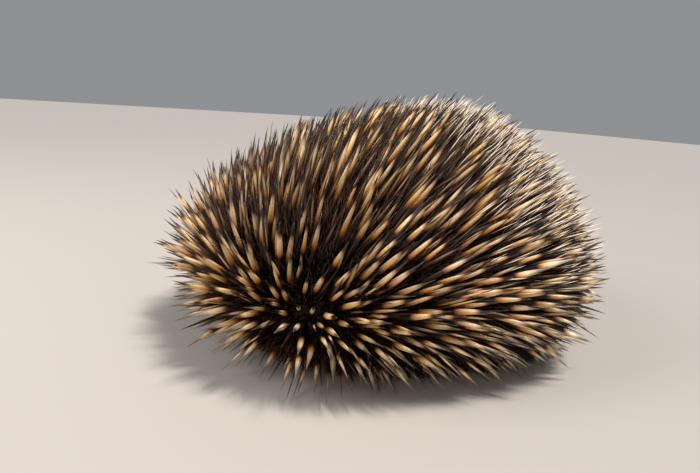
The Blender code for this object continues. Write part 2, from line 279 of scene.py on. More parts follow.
def loft(stations: list[Matrix], segments: int) -> bmesh.types.BMesh:
    """A closed tube through a row of rings.

    Args:
        stations: One placing for each ring.
        segments: Corners in each ring.

    Returns:
        The closed shape.
    """
    shape = bmesh.new()
    bmesh.ops.create_circle(shape, cap_ends=False, segments=segments, radius=1.0)
    bmesh.ops.transform(shape, matrix=stations[0], verts=shape.verts)
    edges = list(shape.edges)
    for before, after in zip(stations, stations[1:]):
        grown = bmesh.ops.extrude_edge_only(shape, edges=edges)["geom"]
        corners = [part for part in grown if isinstance(part, bmesh.types.BMVert)]
        held = set(corners)
        edges = [part for part in grown
                 if isinstance(part, bmesh.types.BMEdge) and held.issuperset(part.verts)]
        bmesh.ops.transform(shape, matrix=after @ before.inverted(), verts=corners)
    bmesh.ops.holes_fill(shape, edges=[edge for edge in shape.edges if edge.is_boundary])
    return shape


def joined(shapes: list[bmesh.types.BMesh]) -> bmesh.types.BMesh:
    """Puts several loose closed shapes into one bmesh.

    Args:
        shapes: The closed shapes, which are freed.

    Returns:
        All of them in one.
    """
    whole = bmesh.new()
    for shape in shapes:
        mesh = shape_to_mesh("loose_part", shape)
        whole.from_mesh(mesh)
        bpy.data.meshes.remove(mesh)
    return whole


@dataclass(frozen=True)
class Span:
    """A straight stretch between two points, to say how near other points come to it."""

    start: np.ndarray
    end: np.ndarray

    def along(self, points: np.ndarray) -> np.ndarray:
        """How far along points lie, 0 at the start and 1 at the end."""
        way = self.end - self.start
        return ((points - self.start) @ way) / (way @ way)

    def off(self, points: np.ndarray) -> np.ndarray:
        """How far from the stretch points are."""
        nearest = mix(self.start, self.end, np.clip(self.along(points), 0, 1)[:, None])
        return np.linalg.norm(points - nearest, axis=1)


# ------------------------------------------------------------------ the form of the body


@dataclass(frozen=True)
class Dome:
    """The domed outline over the tips of the spines, with the sizes of the solids.

    A place on it is a turn round from +X and a climb from its widest level, both in radians.
    A depth takes it in towards the skin.
    """

    length: float = 0.305
    width: float = 0.292
    height: float = 0.178
    front_reach: float = 0.203
    widest_level: float = 0.057
    under_depth: float = 0.086
    crest_shift: float = 0.022
    plan_power: float = 2.15
    front_power: float = 1.98
    rear_power: float = 1.58
    lower_power: float = 2.30
    shoulder_swell: float = 0.0065
    haunch_swell: float = 0.0035
    halvings: int = 14  # of the search for the way out

    @property
    def widest_y(self) -> float:
        """Where along the body it is widest."""
        return self.front_reach - self.length / 2

    def power(self, turn: np.ndarray, above: np.ndarray) -> np.ndarray:
        """Power of the profile's curve, by turn and by whether it is above the widest level."""
        upper = mix(self.rear_power, self.front_power, 0.5 - 0.5 * np.sin(turn))
        return np.where(above, upper, self.lower_power)

    def point(self, turn: np.ndarray, climb: np.ndarray,
              depth: np.ndarray | float = 0.0) -> np.ndarray:
        """Points on the outline, or inside it.

        Args:
            turn: Turns in radians.
            climb: Climbs in radians, negative below the widest level.
            depth: How far inside the outline.

        Returns:
            Points, one row each.
        """
        plan = (abs(np.cos(turn)) ** self.plan_power
                + abs(np.sin(turn)) ** self.plan_power) ** (-1 / self.plan_power)
        power = self.power(turn, climb > 0)
        profile = (abs(np.cos(climb)) ** power + abs(np.sin(climb)) ** power) ** (-1 / power)
        out = plan * profile * np.cos(climb)
        rise = profile * np.sin(climb)
        rear = np.sin(turn) > 0
        reach = np.where(rear, self.length - self.front_reach, self.front_reach) - depth
        swell = np.where(rear, self.haunch_swell, self.shoulder_swell)
        swell = swell * np.sin(2 * turn) ** 2 * np.cos(climb) ** 2
        across = (self.width / 2 - depth + swell) * out * np.cos(turn)
        along = self.widest_y + (reach + swell) * out * np.sin(turn)
        along = along + self.crest_shift * np.clip(rise, 0, None) ** 2
        tall = np.where(climb > 0, self.height - self.widest_level - depth, self.under_depth)
        return np.stack([across, along, self.widest_level + tall * rise], -1)

    def normal(self, turn: np.ndarray, climb: np.ndarray,
               depth: np.ndarray | float = 0.0) -> np.ndarray:
        """Outward directions at places on the outline, by small steps along it.

        Args:
            turn: Turns in radians.
            climb: Climbs in radians.
            depth: How far inside the outline.

        Returns:
            Unit vectors, one row each.
        """
        step = 1e-3
        round_step = self.point(turn + step, climb, depth) - self.point(turn - step, climb, depth)
        up_step = self.point(turn, climb + step, depth) - self.point(turn, climb - step, depth)
        return unit(np.cross(round_step, up_step))

    def level(self, points: np.ndarray) -> np.ndarray:
        """How far out points lie.

        Args:
            points: Points, one row each.

        Returns:
            1 on the outline, less inside it and more outside.
        """
        above = points[:, 2] > self.widest_level
        tall = np.where(above, self.height - self.widest_level, self.under_depth)
        rise = (points[:, 2] - self.widest_level) / tall
        along = points[:, 1] - self.widest_y - self.crest_shift * np.clip(rise, 0, 1) ** 2
        reach = np.where(along > 0, self.length - self.front_reach, self.front_reach)
        side, way = points[:, 0] / (self.width / 2), along / reach
        plan = (abs(side) ** self.plan_power
                + abs(way) ** self.plan_power) ** (1 / self.plan_power)
        turn = np.arctan2(way, side)
        power = self.power(turn, above)
        level = (plan ** power + abs(rise) ** power) ** (1 / power)
        swell = np.where(along > 0, self.haunch_swell, self.shoulder_swell)
        swell = swell * np.sin(2 * turn) ** 2 * plan ** 2 / (plan ** 2 + rise ** 2 + 1e-9)
        return level / (1 + swell / (self.width / 2))

    def way_out(self, points: np.ndarray, ways: np.ndarray, target: np.ndarray,
                most: float) -> np.ndarray:
        """How far it is from points inside, along their ways, to a level.

        Args:
            points: Starting points.
            ways: Unit vectors.
            target: The level to reach.
            most: The greatest distance.

        Returns:
            Distances, to a few thousandths of a millimetre.
        """
        low, high = np.zeros(len(points)), np.full(len(points), most)
        for _ in range(self.halvings):
            half = (low + high) / 2
            inside = self.level(points + ways * half[:, None]) < target
            low, high = np.where(inside, half, low), np.where(inside, high, half)
        return low

    def share_back(self, points: np.ndarray) -> np.ndarray:
        """How far back points lie, from the front (0) to the rear (1)."""
        return np.clip((points[..., 1] - self.widest_y + self.front_reach) / self.length, 0, 1)


DOME = Dome()


@dataclass(frozen=True)
class CoatLie:
    """The lie of the spines.

    They part at a whorl on the left shoulder, and on the right over the tucked head, and run up,
    over and round to the tail, leaning back more the further back they are. Near the ground they
    droop.
    """

    whorl: Pair = (math.radians(25.1), math.radians(-55.9))  # turn and dip of its pole
    crown: Pair = (math.radians(-38.0), math.radians(-12.0))
    tail: Pair = (math.radians(-12.8), math.radians(-26.1))
    leans: Pair = (math.radians(37.6), math.radians(67.7))  # at the front and the rear
    droop: float = 0.65
    droop_below: float = 0.6  # as a share of the height
    whorl_reach: float = 0.08  # round the whorl the spines stand straighter
    crown_reach: float = 0.035
    crown_least: float = 0.4
    far_side: Pair = (0.030, 0.090)  # distances to the right where the crown takes over
    pole_shift: float = 0.0024
    pole_rise: float = 0.6
    middle_depths: Pair = (0.018, 0.010)  # of the spines' middles under the outline
    skin_depths: Pair = (0.034, 0.016)  # and of the skin, less where the spines lie flatter

    def depth(self, depths: Pair, turn: np.ndarray, climb: np.ndarray) -> np.ndarray:
        """Depths at places, from one for the front and one for the rear."""
        return mix(*depths, DOME.share_back(DOME.point(turn, climb)))

    def pole(self, angles: Pair, way: int) -> np.ndarray:
        """One of the points that the spines run between.

        Args:
            angles: Turn from straight ahead, or straight behind, and dip below the middle.
            way: -1 for the front, 1 for the rear.

        Returns:
            The point.
        """
        turn, dip = angles
        reach = DOME.front_reach if way < 0 else DOME.length - DOME.front_reach
        middle = np.array([0.0, DOME.widest_y + self.pole_shift, DOME.widest_level])
        return middle + np.array([math.sin(turn) * math.cos(dip) * DOME.width / 2,
                                  way * math.cos(turn) * math.cos(dip) * reach,
                                  math.sin(dip) * DOME.height * self.pole_rise])

    def ways(self, points: np.ndarray, normals: np.ndarray) -> np.ndarray:
        """The way each spine points.

        Args:
            points: The spines' middles.
            normals: Outward directions there.

        Returns:
            Unit vectors.
        """
        def length(vectors: np.ndarray) -> np.ndarray:
            """Lengths, kept as a column."""
            return np.linalg.norm(vectors, axis=-1, keepdims=True)

        def flat(vectors: np.ndarray) -> np.ndarray:
            """Unit vectors without their outward part."""
            return unit(vectors - (vectors * normals).sum(-1, keepdims=True) * normals)

        whorl, crown = (points - self.pole(angles, -1) for angles in (self.whorl, self.crown))
        tail = self.pole(self.tail, 1) - points
        far = ease(-points[..., 0:1], *self.far_side)
        flows = [flat(source / (source * source).sum(-1, keepdims=True) + tail / length(tail) ** 2)
                 for source in (whorl, crown)]
        flow = flat(flows[0] * (1 - far) + flows[1] * far)
        lean = mix(*self.leans, DOME.share_back(points)[..., None])
        lean = lean * np.clip(length(whorl) / self.whorl_reach, 0, 1)
        lean = lean * mix(self.crown_least, 1, np.clip(length(crown) / self.crown_reach, 0, 1))
        way = np.cos(lean) * normals + np.sin(lean) * flow
        low = np.clip(1 - points[..., 2:3] / (self.droop_below * DOME.height), 0, 1)
        return unit(way + np.array([0.0, 0.0, -self.droop]) * low)


LIE = CoatLie()


# ------------------------------------------------------------------ finishes


@dataclass(frozen=True)
class SpineKeratin:
    """Quill keratin: a stiff, satin, solid horn, dark where it leaves the skin.

    Its middle is straw to orange tan, and its end either dark brown or pale ivory to grey, the
    pale ends partly the horn's own colour and partly a painted glint of light. Fine lengthwise
    streaks and a soft long highlight show that it is smooth and grown, not moulded.
    """

    name: str = "quill keratin"
    dark_tip: Stops = (
        (0.0, "#0a0402"), (0.39, "#1b0b05"), (0.43, "#7a4c1e"), (0.50, "#be8946"),
        (0.62, "#dcb981"), (0.74, "#e3c99c"), (0.81, "#a67946"), (0.85, "#452714"),
        (0.88, "#1f0f07"), (1.0, "#140905"))
    # Pale ends: partly the horn's own colour, partly a painted glint of light on the tips.
    pale_tip: Stops = (
        (0.0, "#0a0402"), (0.46, "#170b06"), (0.50, "#8c5b2e"), (0.56, "#d8b074"),
        (0.66, "#f2deb4"), (0.74, "#d2c1a2"), (0.83, "#968b7a"), (1.0, "#6f6559"))
    plain: Stops = (
        (0.0, "#080403"), (0.40, "#150b07"), (0.60, "#33211a"), (0.76, "#1b120e"),
        (1.0, "#0f0a08"))
    roughness: float = 0.36
    ior: float = 1.54  # keratin
    gloss: float = 0.34
    band_shift: float = 0.12  # how far the bands' places differ
    brightness: Pair = (0.75, 1.28)  # of the dimmest and the brightest,
    ripeness: Pair = (1.14, 0.86)  # and the strength of their colours
    hues: Pair = (0.492, 0.505)  # from more orange to more straw,
    hue_waves: float = 90.0  # whatever their brightness
    streak_mm: float = 1.2  # real ones are 0.1 mm, too fine to show
    streak_detail: float = 3.0
    streak_range: Pair = (0.3, 0.7)  # of the noise that makes them
    streaks: Pair = (0.84, 1.10)  # brightness of the darkest and the palest
    relief: Pair = (0.2, 0.0003)  # strength and depth

    def build(self) -> bpy.types.Material:
        """Makes the material from the strands' own attributes.

        Returns:
            The material.
        """
        finish, tree = new_finish(self.name)
        along, tone, pale, band = (
            add_node(tree, "Attribute", "Fac", settings={"attribute_name": key})
            for key in ("along", "tone", "pale", "band"))
        shifted = add_node(tree, "Math", settings={"operation": "MULTIPLY_ADD"}, _0=tone,
                           _1=self.band_shift, _2=along)
        place = add_node(tree, "Math", settings={"operation": "SUBTRACT"}, _0=shifted,
                         _1=self.band_shift / 2)
        dark_tip, pale_tip, plain = (add_node(tree, "ValToRGB", "Color", stops, Fac=place)
                                     for stops in (self.dark_tip, self.pale_tip, self.plain))
        banded = add_node(tree, "Mix", 2, settings={"data_type": "RGBA"}, _0=pale, _6=dark_tip,
                          _7=pale_tip)
        colour = add_node(tree, "Mix", 2, settings={"data_type": "RGBA"}, _0=band, _6=plain,
                          _7=banded)
        streaks = add_node(tree, "TexNoise", Vector=add_node(tree, "TexCoord", "Object"),
                           Scale=PER_METRE / self.streak_mm, Detail=self.streak_detail)
        streaked = add_node(tree, "MapRange", Value=streaks, From_Min=self.streak_range[0],
                            From_Max=self.streak_range[1], To_Min=self.streaks[0],
                            To_Max=self.streaks[1])
        bright = add_node(tree, "MapRange", Value=tone, To_Min=self.brightness[0],
                          To_Max=self.brightness[1])
        ripe = add_node(tree, "MapRange", Value=tone, To_Min=self.ripeness[0],
                        To_Max=self.ripeness[1])
        wave = add_node(tree, "Math", settings={"operation": "MULTIPLY"}, _0=tone,
                        _1=self.hue_waves)
        swing = add_node(tree, "Math", settings={"operation": "SINE"}, _0=wave)
        hue = add_node(tree, "MapRange", Value=swing, From_Min=-1.0, To_Min=self.hues[0],
                       To_Max=self.hues[1])
        level = add_node(tree, "Math", settings={"operation": "MULTIPLY"}, _0=streaked,
                         _1=bright)
        toned = add_node(tree, "HueSaturation", Color=colour, Value=level, Saturation=ripe,
                         Hue=hue)
        relief = add_node(tree, "Bump", Height=streaks, Strength=self.relief[0],
                          Distance=self.relief[1])
        set_inputs(tree.nodes[SHADER], Base_Color=toned, Roughness=self.roughness,
                   IOR=self.ior, Specular_IOR_Level=self.gloss, Normal=relief)
        return finish


@dataclass(frozen=True)
class StrandHair:
    """Coarse hair: matt along its length, darkest at the root, with little gloss."""

    name: str
    stops: Stops  # colours from the root to the tip
    roughness: float
    variation: float  # how much brightness differs from hair to hair
    gloss: float = 0.2

    def build(self) -> bpy.types.Material:
        """Makes the material from the strands' own attributes.

        Returns:
            The material.
        """
        finish, tree = new_finish(self.name)
        along, tone = (add_node(tree, "Attribute", "Fac", settings={"attribute_name": key})
                       for key in ("along", "tone"))
        level = add_node(tree, "MapRange", Value=tone, To_Min=1 - self.variation,
                         To_Max=1 + self.variation)
        colour = add_node(tree, "ValToRGB", "Color", self.stops, Fac=along)
        toned = add_node(tree, "HueSaturation", Color=colour, Value=level)
        set_inputs(tree.nodes[SHADER], Base_Color=toned, Roughness=self.roughness,
                   Specular_IOR_Level=self.gloss)
        return finish


@dataclass(frozen=True)
class BareSkin:
    """Leathery skin: fine creases in a small grain, slightly greasy, so a soft broad shine."""

    name: str
    dark: str
    light: str
    grain_mm: float
    roughness: float
    bump: float
    fades: bool = False  # whether it darkens towards its base, a painted shade where it goes in under the fur and spines
    under_fur: str = "#120c09"
    fur_edge: Pair = (0.24, 0.52)  # where along the piece the painted shade ends
    ragged: float = 0.16  # unevenness of that edge
    blotch_mm: float = 6.2
    blotch_detail: float = 5.0
    blotches: Pair = (0.3, 0.72)  # where their dark ends and their light begins
    uneven: float = 0.1  # of the roughness
    crease: float = 0.0004  # depth of the grain

    def build(self) -> bpy.types.Material:
        """Makes the material, with its grain at a real size.

        Returns:
            The material.
        """
        finish, tree = new_finish(self.name)
        spot = add_node(tree, "TexCoord", "Object")
        grain = add_node(tree, "TexVoronoi", "Distance",
                         settings={"feature": "DISTANCE_TO_EDGE"}, Vector=spot,
                         Scale=PER_METRE / self.grain_mm)
        blotch = add_node(tree, "TexNoise", Vector=spot, Scale=PER_METRE / self.blotch_mm,
                          Detail=self.blotch_detail)
        colour = add_node(tree, "ValToRGB", "Color",
                          tuple(zip(self.blotches, (self.dark, self.light))), Fac=blotch)
        # Painted shade: darker towards the base, where the piece goes in under the face's fur and
        # the spines.
        if self.fades:
            bare = add_node(tree, "Attribute", "Fac", settings={"attribute_name": "along"})
            edge = add_node(tree, "Math", settings={"operation": "MULTIPLY_ADD"}, _0=blotch,
                            _1=self.ragged, _2=bare)
            shown = add_node(tree, "MapRange", Value=edge, From_Min=self.fur_edge[0],
                             From_Max=self.fur_edge[1])
            colour = add_node(tree, "Mix", 2, settings={"data_type": "RGBA"}, _0=shown,
                              _6=linear_colour(self.under_fur), _7=colour)
        rough = add_node(tree, "MapRange", Value=blotch, To_Min=self.roughness - self.uneven,
                         To_Max=self.roughness + self.uneven)
        creases = add_node(tree, "Bump", Height=grain, Strength=self.bump, Distance=self.crease)
        set_inputs(tree.nodes[SHADER], Base_Color=colour, Roughness=rough, Normal=creases)
        return finish


@dataclass(frozen=True)
class ClawHorn:
    """Claw keratin: layered horn, scratched by digging, so streaked, and paler at the worn tip."""

    name: str = "claw horn"
    stops: Stops = ((0.25, "#2b211a"), (0.8, "#4b3b2c"), (1.0, "#8a775f"))
    roughness: float = 0.42
    wear_mm: float = 1.7  # real scratches are 0.2 mm, too fine to show
    wear_detail: float = 6.0
    wear: float = 0.45  # how far it shifts the colours along the claw
    relief: Pair = (0.35, 0.0003)  # strength and depth

    def build(self) -> bpy.types.Material:
        """Makes the material from the claw's own attribute.

        Returns:
            The material.
        """
        finish, tree = new_finish(self.name)
        along = add_node(tree, "Attribute", "Fac", settings={"attribute_name": "along"})
        wear = add_node(tree, "TexNoise", Vector=add_node(tree, "TexCoord", "Object"),
                        Scale=PER_METRE / self.wear_mm, Detail=self.wear_detail)
        worn = add_node(tree, "Math", settings={"operation": "MULTIPLY_ADD"}, _0=wear,
                        _1=self.wear, _2=along)
        colour = add_node(tree, "ValToRGB", "Color", self.stops, Fac=worn)
        scratches = add_node(tree, "Bump", Height=wear, Strength=self.relief[0],
                             Distance=self.relief[1])
        set_inputs(tree.nodes[SHADER], Base_Color=colour, Roughness=self.roughness,
                   Normal=scratches)
        return finish


@dataclass(frozen=True)
class WetEye:
    """A dark wet eye: near black through a clear glossy cornea."""

    name: str = "wet eye"
    stops: Stops = ((0.35, "#0c0806"), (0.8, "#1e120b"))
    roughness: float = 0.06
    ior: float = 1.38  # cornea and tears
    tears: Pair = (1.0, 0.02)  # strength and roughness of the wet film
    fleck_mm: float = 1.1
    fleck_detail: float = 2.0

    def build(self) -> bpy.types.Material:
        """Makes the material.

        Returns:
            The material.
        """
        finish, tree = new_finish(self.name)
        flecks = add_node(tree, "TexNoise", Vector=add_node(tree, "TexCoord", "Object"),
                          Scale=PER_METRE / self.fleck_mm, Detail=self.fleck_detail)
        colour = add_node(tree, "ValToRGB", "Color", self.stops, Fac=flecks)
        set_inputs(tree.nodes[SHADER], Base_Color=colour, Roughness=self.roughness,
                   IOR=self.ior, Coat_Weight=self.tears[0], Coat_Roughness=self.tears[1])
        return finish


# ------------------------------------------------------------------ strands


@dataclass(frozen=True)
class StrandForm:
    """The cross-section and the taper that a kind of strand shares."""

    sides: int
    places: tuple[float, ...]  # of the rings, from the root (0) to the tip (1)
    girths: tuple[float, ...]  # of the rings, as shares of the half thickness
    patch: Pair = (0.003, 0.003)  # of each strand on the bake map, round and along

    @property
    def triangles(self) -> int:
        """Triangles of one strand."""
        return 2 * self.sides * len(self.places)

    def shape(self) -> bmesh.types.BMesh:
        """One upright strand, of length 1 and half thickness 1, with a point at both ends.

        Returns:
            The closed shape.
        """
        rings = [station(UP * place, SIDE, BACK, girth, girth)
                 for place, girth in zip(self.places, self.girths)]
        shape = loft(rings, self.sides)
        # The rings start at Y and the bake map's patch at X.
        bmesh.ops.rotate(shape, matrix=Matrix.Rotation(-math.pi / 2, 3, "Z"), verts=shape.verts)
        caps = [face for face in shape.faces
                if math.isclose(face.verts[0].co.z, face.calc_center_median().z, abs_tol=NEARLY)]
        for middle in bmesh.ops.poke(shape, faces=caps)["verts"]:
            middle.co = (0.0, 0.0, round(middle.co.z))  # the root or the tip
        bmesh.ops.recalc_face_normals(shape, faces=shape.faces)
        shape.verts.index_update()
        return shape

    def faces(self, shape: bmesh.types.BMesh) -> list[list[tuple[int, float, float]]]:
        """The faces of one strand, unrolled for the bake map.

        Args:
            shape: The strand.

        Returns:
            For each face its corners, each as its number and its shares round and along.
        """
        faces = []
        for face in shape.faces:
            middle = face.calc_center_median()
            faces.append([])
            for vert in face.verts:
                aside = Vector((middle.x, middle.y)).angle_signed(vert.co.xy, 0.0)
                turn = math.atan2(middle.y, middle.x) % (2 * math.pi) - aside
                faces[-1].append((vert.index, turn / (2 * math.pi), vert.co.z))
        return faces


@dataclass
class Strands:
    """Many separate strands, each a closed tapered body."""

    roots: np.ndarray
    ways: np.ndarray
    lengths: np.ndarray
    halves: np.ndarray  # half thickness at the fattest
    bends: np.ndarray  # how far the tip is carried aside
    tones: np.ndarray  # chance differences, 0 to 1
    patches: np.ndarray  # middle of each strand's patch on the bake map
    pales: np.ndarray  # how pale the tip is, 0 to 1
    bands: np.ndarray  # how strongly the straw band shows, 0 to 1
    squeezes: np.ndarray  # how much shorter the band is than on a typical strand

    @classmethod
    def hairs(cls, *facts: np.ndarray) -> "Strands":
        """Strands without bands, from everything up to their patches."""
        none = np.zeros(len(facts[0]))
        return cls(*facts, none, none, none + 1)

    def keep(self, chosen: np.ndarray) -> "Strands":
        """Only the chosen strands."""
        return Strands(*(getattr(self, fact.name)[chosen] for fact in fields(self)))

    def at(self, share: float) -> np.ndarray:
        """The strands' points at a share of their length."""
        return self.roots + self.ways * (self.lengths * share)[:, None] + self.bends * share ** 2

    def corners(self, spots: np.ndarray) -> np.ndarray:
        """The corners of all strands.

        Args:
            spots: The corners of one upright strand, of length 1 and half thickness 1.

        Returns:
            Points, by strand and corner.
        """
        helper = np.where(abs(self.ways[:, 2:3]) < 0.9, [[0.0, 0.0, 1.0]], [[1.0, 0.0, 0.0]])
        across = unit(np.cross(self.ways, helper))
        other = np.cross(self.ways, across)
        spokes = across[:, None] * spots[:, 0:1] + other[:, None] * spots[:, 1:2]
        middles = np.stack([self.at(share) for share in spots[:, 2]], 1)
        return middles + spokes * self.halves[:, None, None]

    def mesh(self, name: str, form: StrandForm) -> bpy.types.Mesh:
        """Builds the joined mesh, by repeating one strand as arrays, since there are thousands.

        Args:
            name: The mesh's name.
            form: Cross-section and taper.

        Returns:
            The mesh, with its bake map and the attributes along, tone, pale and band.
        """
        shape = form.shape()
        spots = np.array([vert.co for vert in shape.verts])
        faces = form.faces(shape)
        shape.free()
        order = np.array([corner for face in faces for corner in face])
        starts = np.cumsum([0] + [len(face) for face in faces[:-1]])
        numbers = np.arange(len(self.roots))[:, None]
        corners = (numbers * len(spots) + order[:, 0]).ravel()
        starts = (numbers * len(order) + starts).ravel()
        mesh = bpy.data.meshes.new(name)
        mesh.vertices.add(len(numbers) * len(spots))
        mesh.vertices.foreach_set("co", self.corners(spots).astype(np.float32).ravel())
        mesh.loops.add(len(corners))
        mesh.loops.foreach_set("vertex_index", corners.astype(np.int32))
        mesh.polygons.add(len(starts))
        mesh.polygons.foreach_set("loop_start", starts.astype(np.int32))
        mesh.update(calc_edges=True)
        map_spots = self.patches[:, None] + (order[:, 1:] - 0.5) * np.array(form.patch)
        baked = mesh.uv_layers.new(name=BAKE_MAP)
        baked.data.foreach_set("uv", map_spots.astype(np.float32).ravel())
        along = BAND_END + (spots[:, 2] - BAND_END) * self.squeezes[:, None]
        facts = {"along": np.clip(along, 0, 1).ravel()}
        for key, values in (("tone", self.tones), ("pale", self.pales), ("band", self.bands)):
            facts[key] = np.repeat(values, len(spots))
        for key, values in facts.items():
            layer = mesh.attributes.new(key, "FLOAT", "POINT")
            layer.data.foreach_set("value", values.astype(np.float32))
        mesh.shade_smooth()
        return mesh


def keep_apart(points: np.ndarray, spacing: float) -> list[int]:
    """Picks points, first come first served, so that no two are too near.

    Args:
        points: Points, one row each.
        spacing: The least distance between two.

    Returns:
        The rows of those that stay.
    """
    near = list(product((-1, 0, 1), repeat=3))
    taken: dict[tuple[int, int, int], list[list[float]]] = {}
    kept = []
    for row, (home, spot) in enumerate(zip(np.floor(points / spacing).astype(int).tolist(),
                                           points.tolist())):
        x, y, z = home
        around = (held for a, b, c in near for held in taken.get((x + a, y + b, z + c), ()))
        if all(math.dist(spot, held) >= spacing for held in around):
            taken.setdefault((x, y, z), []).append(spot)
            kept.append(row)
    return kept


def scatter(spacing: float, seed: int, even: bool) -> tuple[np.ndarray, np.ndarray]:
    """Spreads places over the coat, at the depth of the spines' middles.

    Args:
        spacing: Least distance between places, or the typical one if not even.
        seed: Seed of the chance.
        even: Whether the places keep their distance, as spines do, or fall freely, as fur does.

    Returns:
        Turns and climbs.
    """
    chance = np.random.default_rng(seed)
    turn_edges = np.linspace(0, 2 * math.pi, GRID[0])
    climb_edges = np.radians(np.linspace(*CLIMBS, GRID[1]))
    turns, climbs = np.meshgrid(turn_edges, climb_edges, indexing="ij")
    grid = DOME.point(turns, climbs, LIE.depth(LIE.middle_depths, turns, climbs))
    areas = np.linalg.norm(np.cross(grid[1:, 1:] - grid[:-1, :-1], grid[1:, :-1] - grid[:-1, 1:]),
                           axis=-1) / 2
    count = int(areas.sum() / spacing ** 2 * (TRIES if even else 1))
    cells = chance.choice(areas.size, size=count, p=(areas / areas.sum()).ravel())
    row, column = np.unravel_index(cells, areas.shape)
    turn = turn_edges[row] + chance.random(count) * turn_edges[1]
    climb = climb_edges[column] + chance.random(count) * (climb_edges[1] - climb_edges[0])
    points = DOME.point(turn, climb, LIE.depth(LIE.middle_depths, turn, climb))
    high = points[:, 2] > LOWEST_MIDDLE
    turn, climb, points = turn[high], climb[high], points[high]
    kept = keep_apart(points, spacing) if even else slice(None)
    return turn[kept], climb[kept]


def unwrap(turn: np.ndarray, climb: np.ndarray) -> np.ndarray:
    """Lays the dome's skin out flat on the bake map, its crest in the middle.

    Args:
        turn: Turns in radians.
        climb: Climbs in radians.

    Returns:
        Places on the map, one row each.
    """
    out = (math.pi / 2 - climb) / (math.pi / 2 + MAP_LOWEST) * MAP_RADIUS
    return np.stack([0.5 + out * np.cos(turn), 0.5 + out * np.sin(turn)], -1)


def face_facts(piece: bpy.types.Object) -> tuple[np.ndarray, np.ndarray, np.ndarray]:
    """Measures the faces of a piece.

    Args:
        piece: The piece.

    Returns:
        Their middles, their outward directions and their areas.
    """
    faces = piece.data.polygons
    middles, normals = np.empty(len(faces) * 3), np.empty(len(faces) * 3)
    areas = np.empty(len(faces))
    for key, values in (("center", middles), ("normal", normals), ("area", areas)):
        faces.foreach_get(key, values)
    return middles.reshape(-1, 3), normals.reshape(-1, 3), areas


# ------------------------------------------------------------------ head


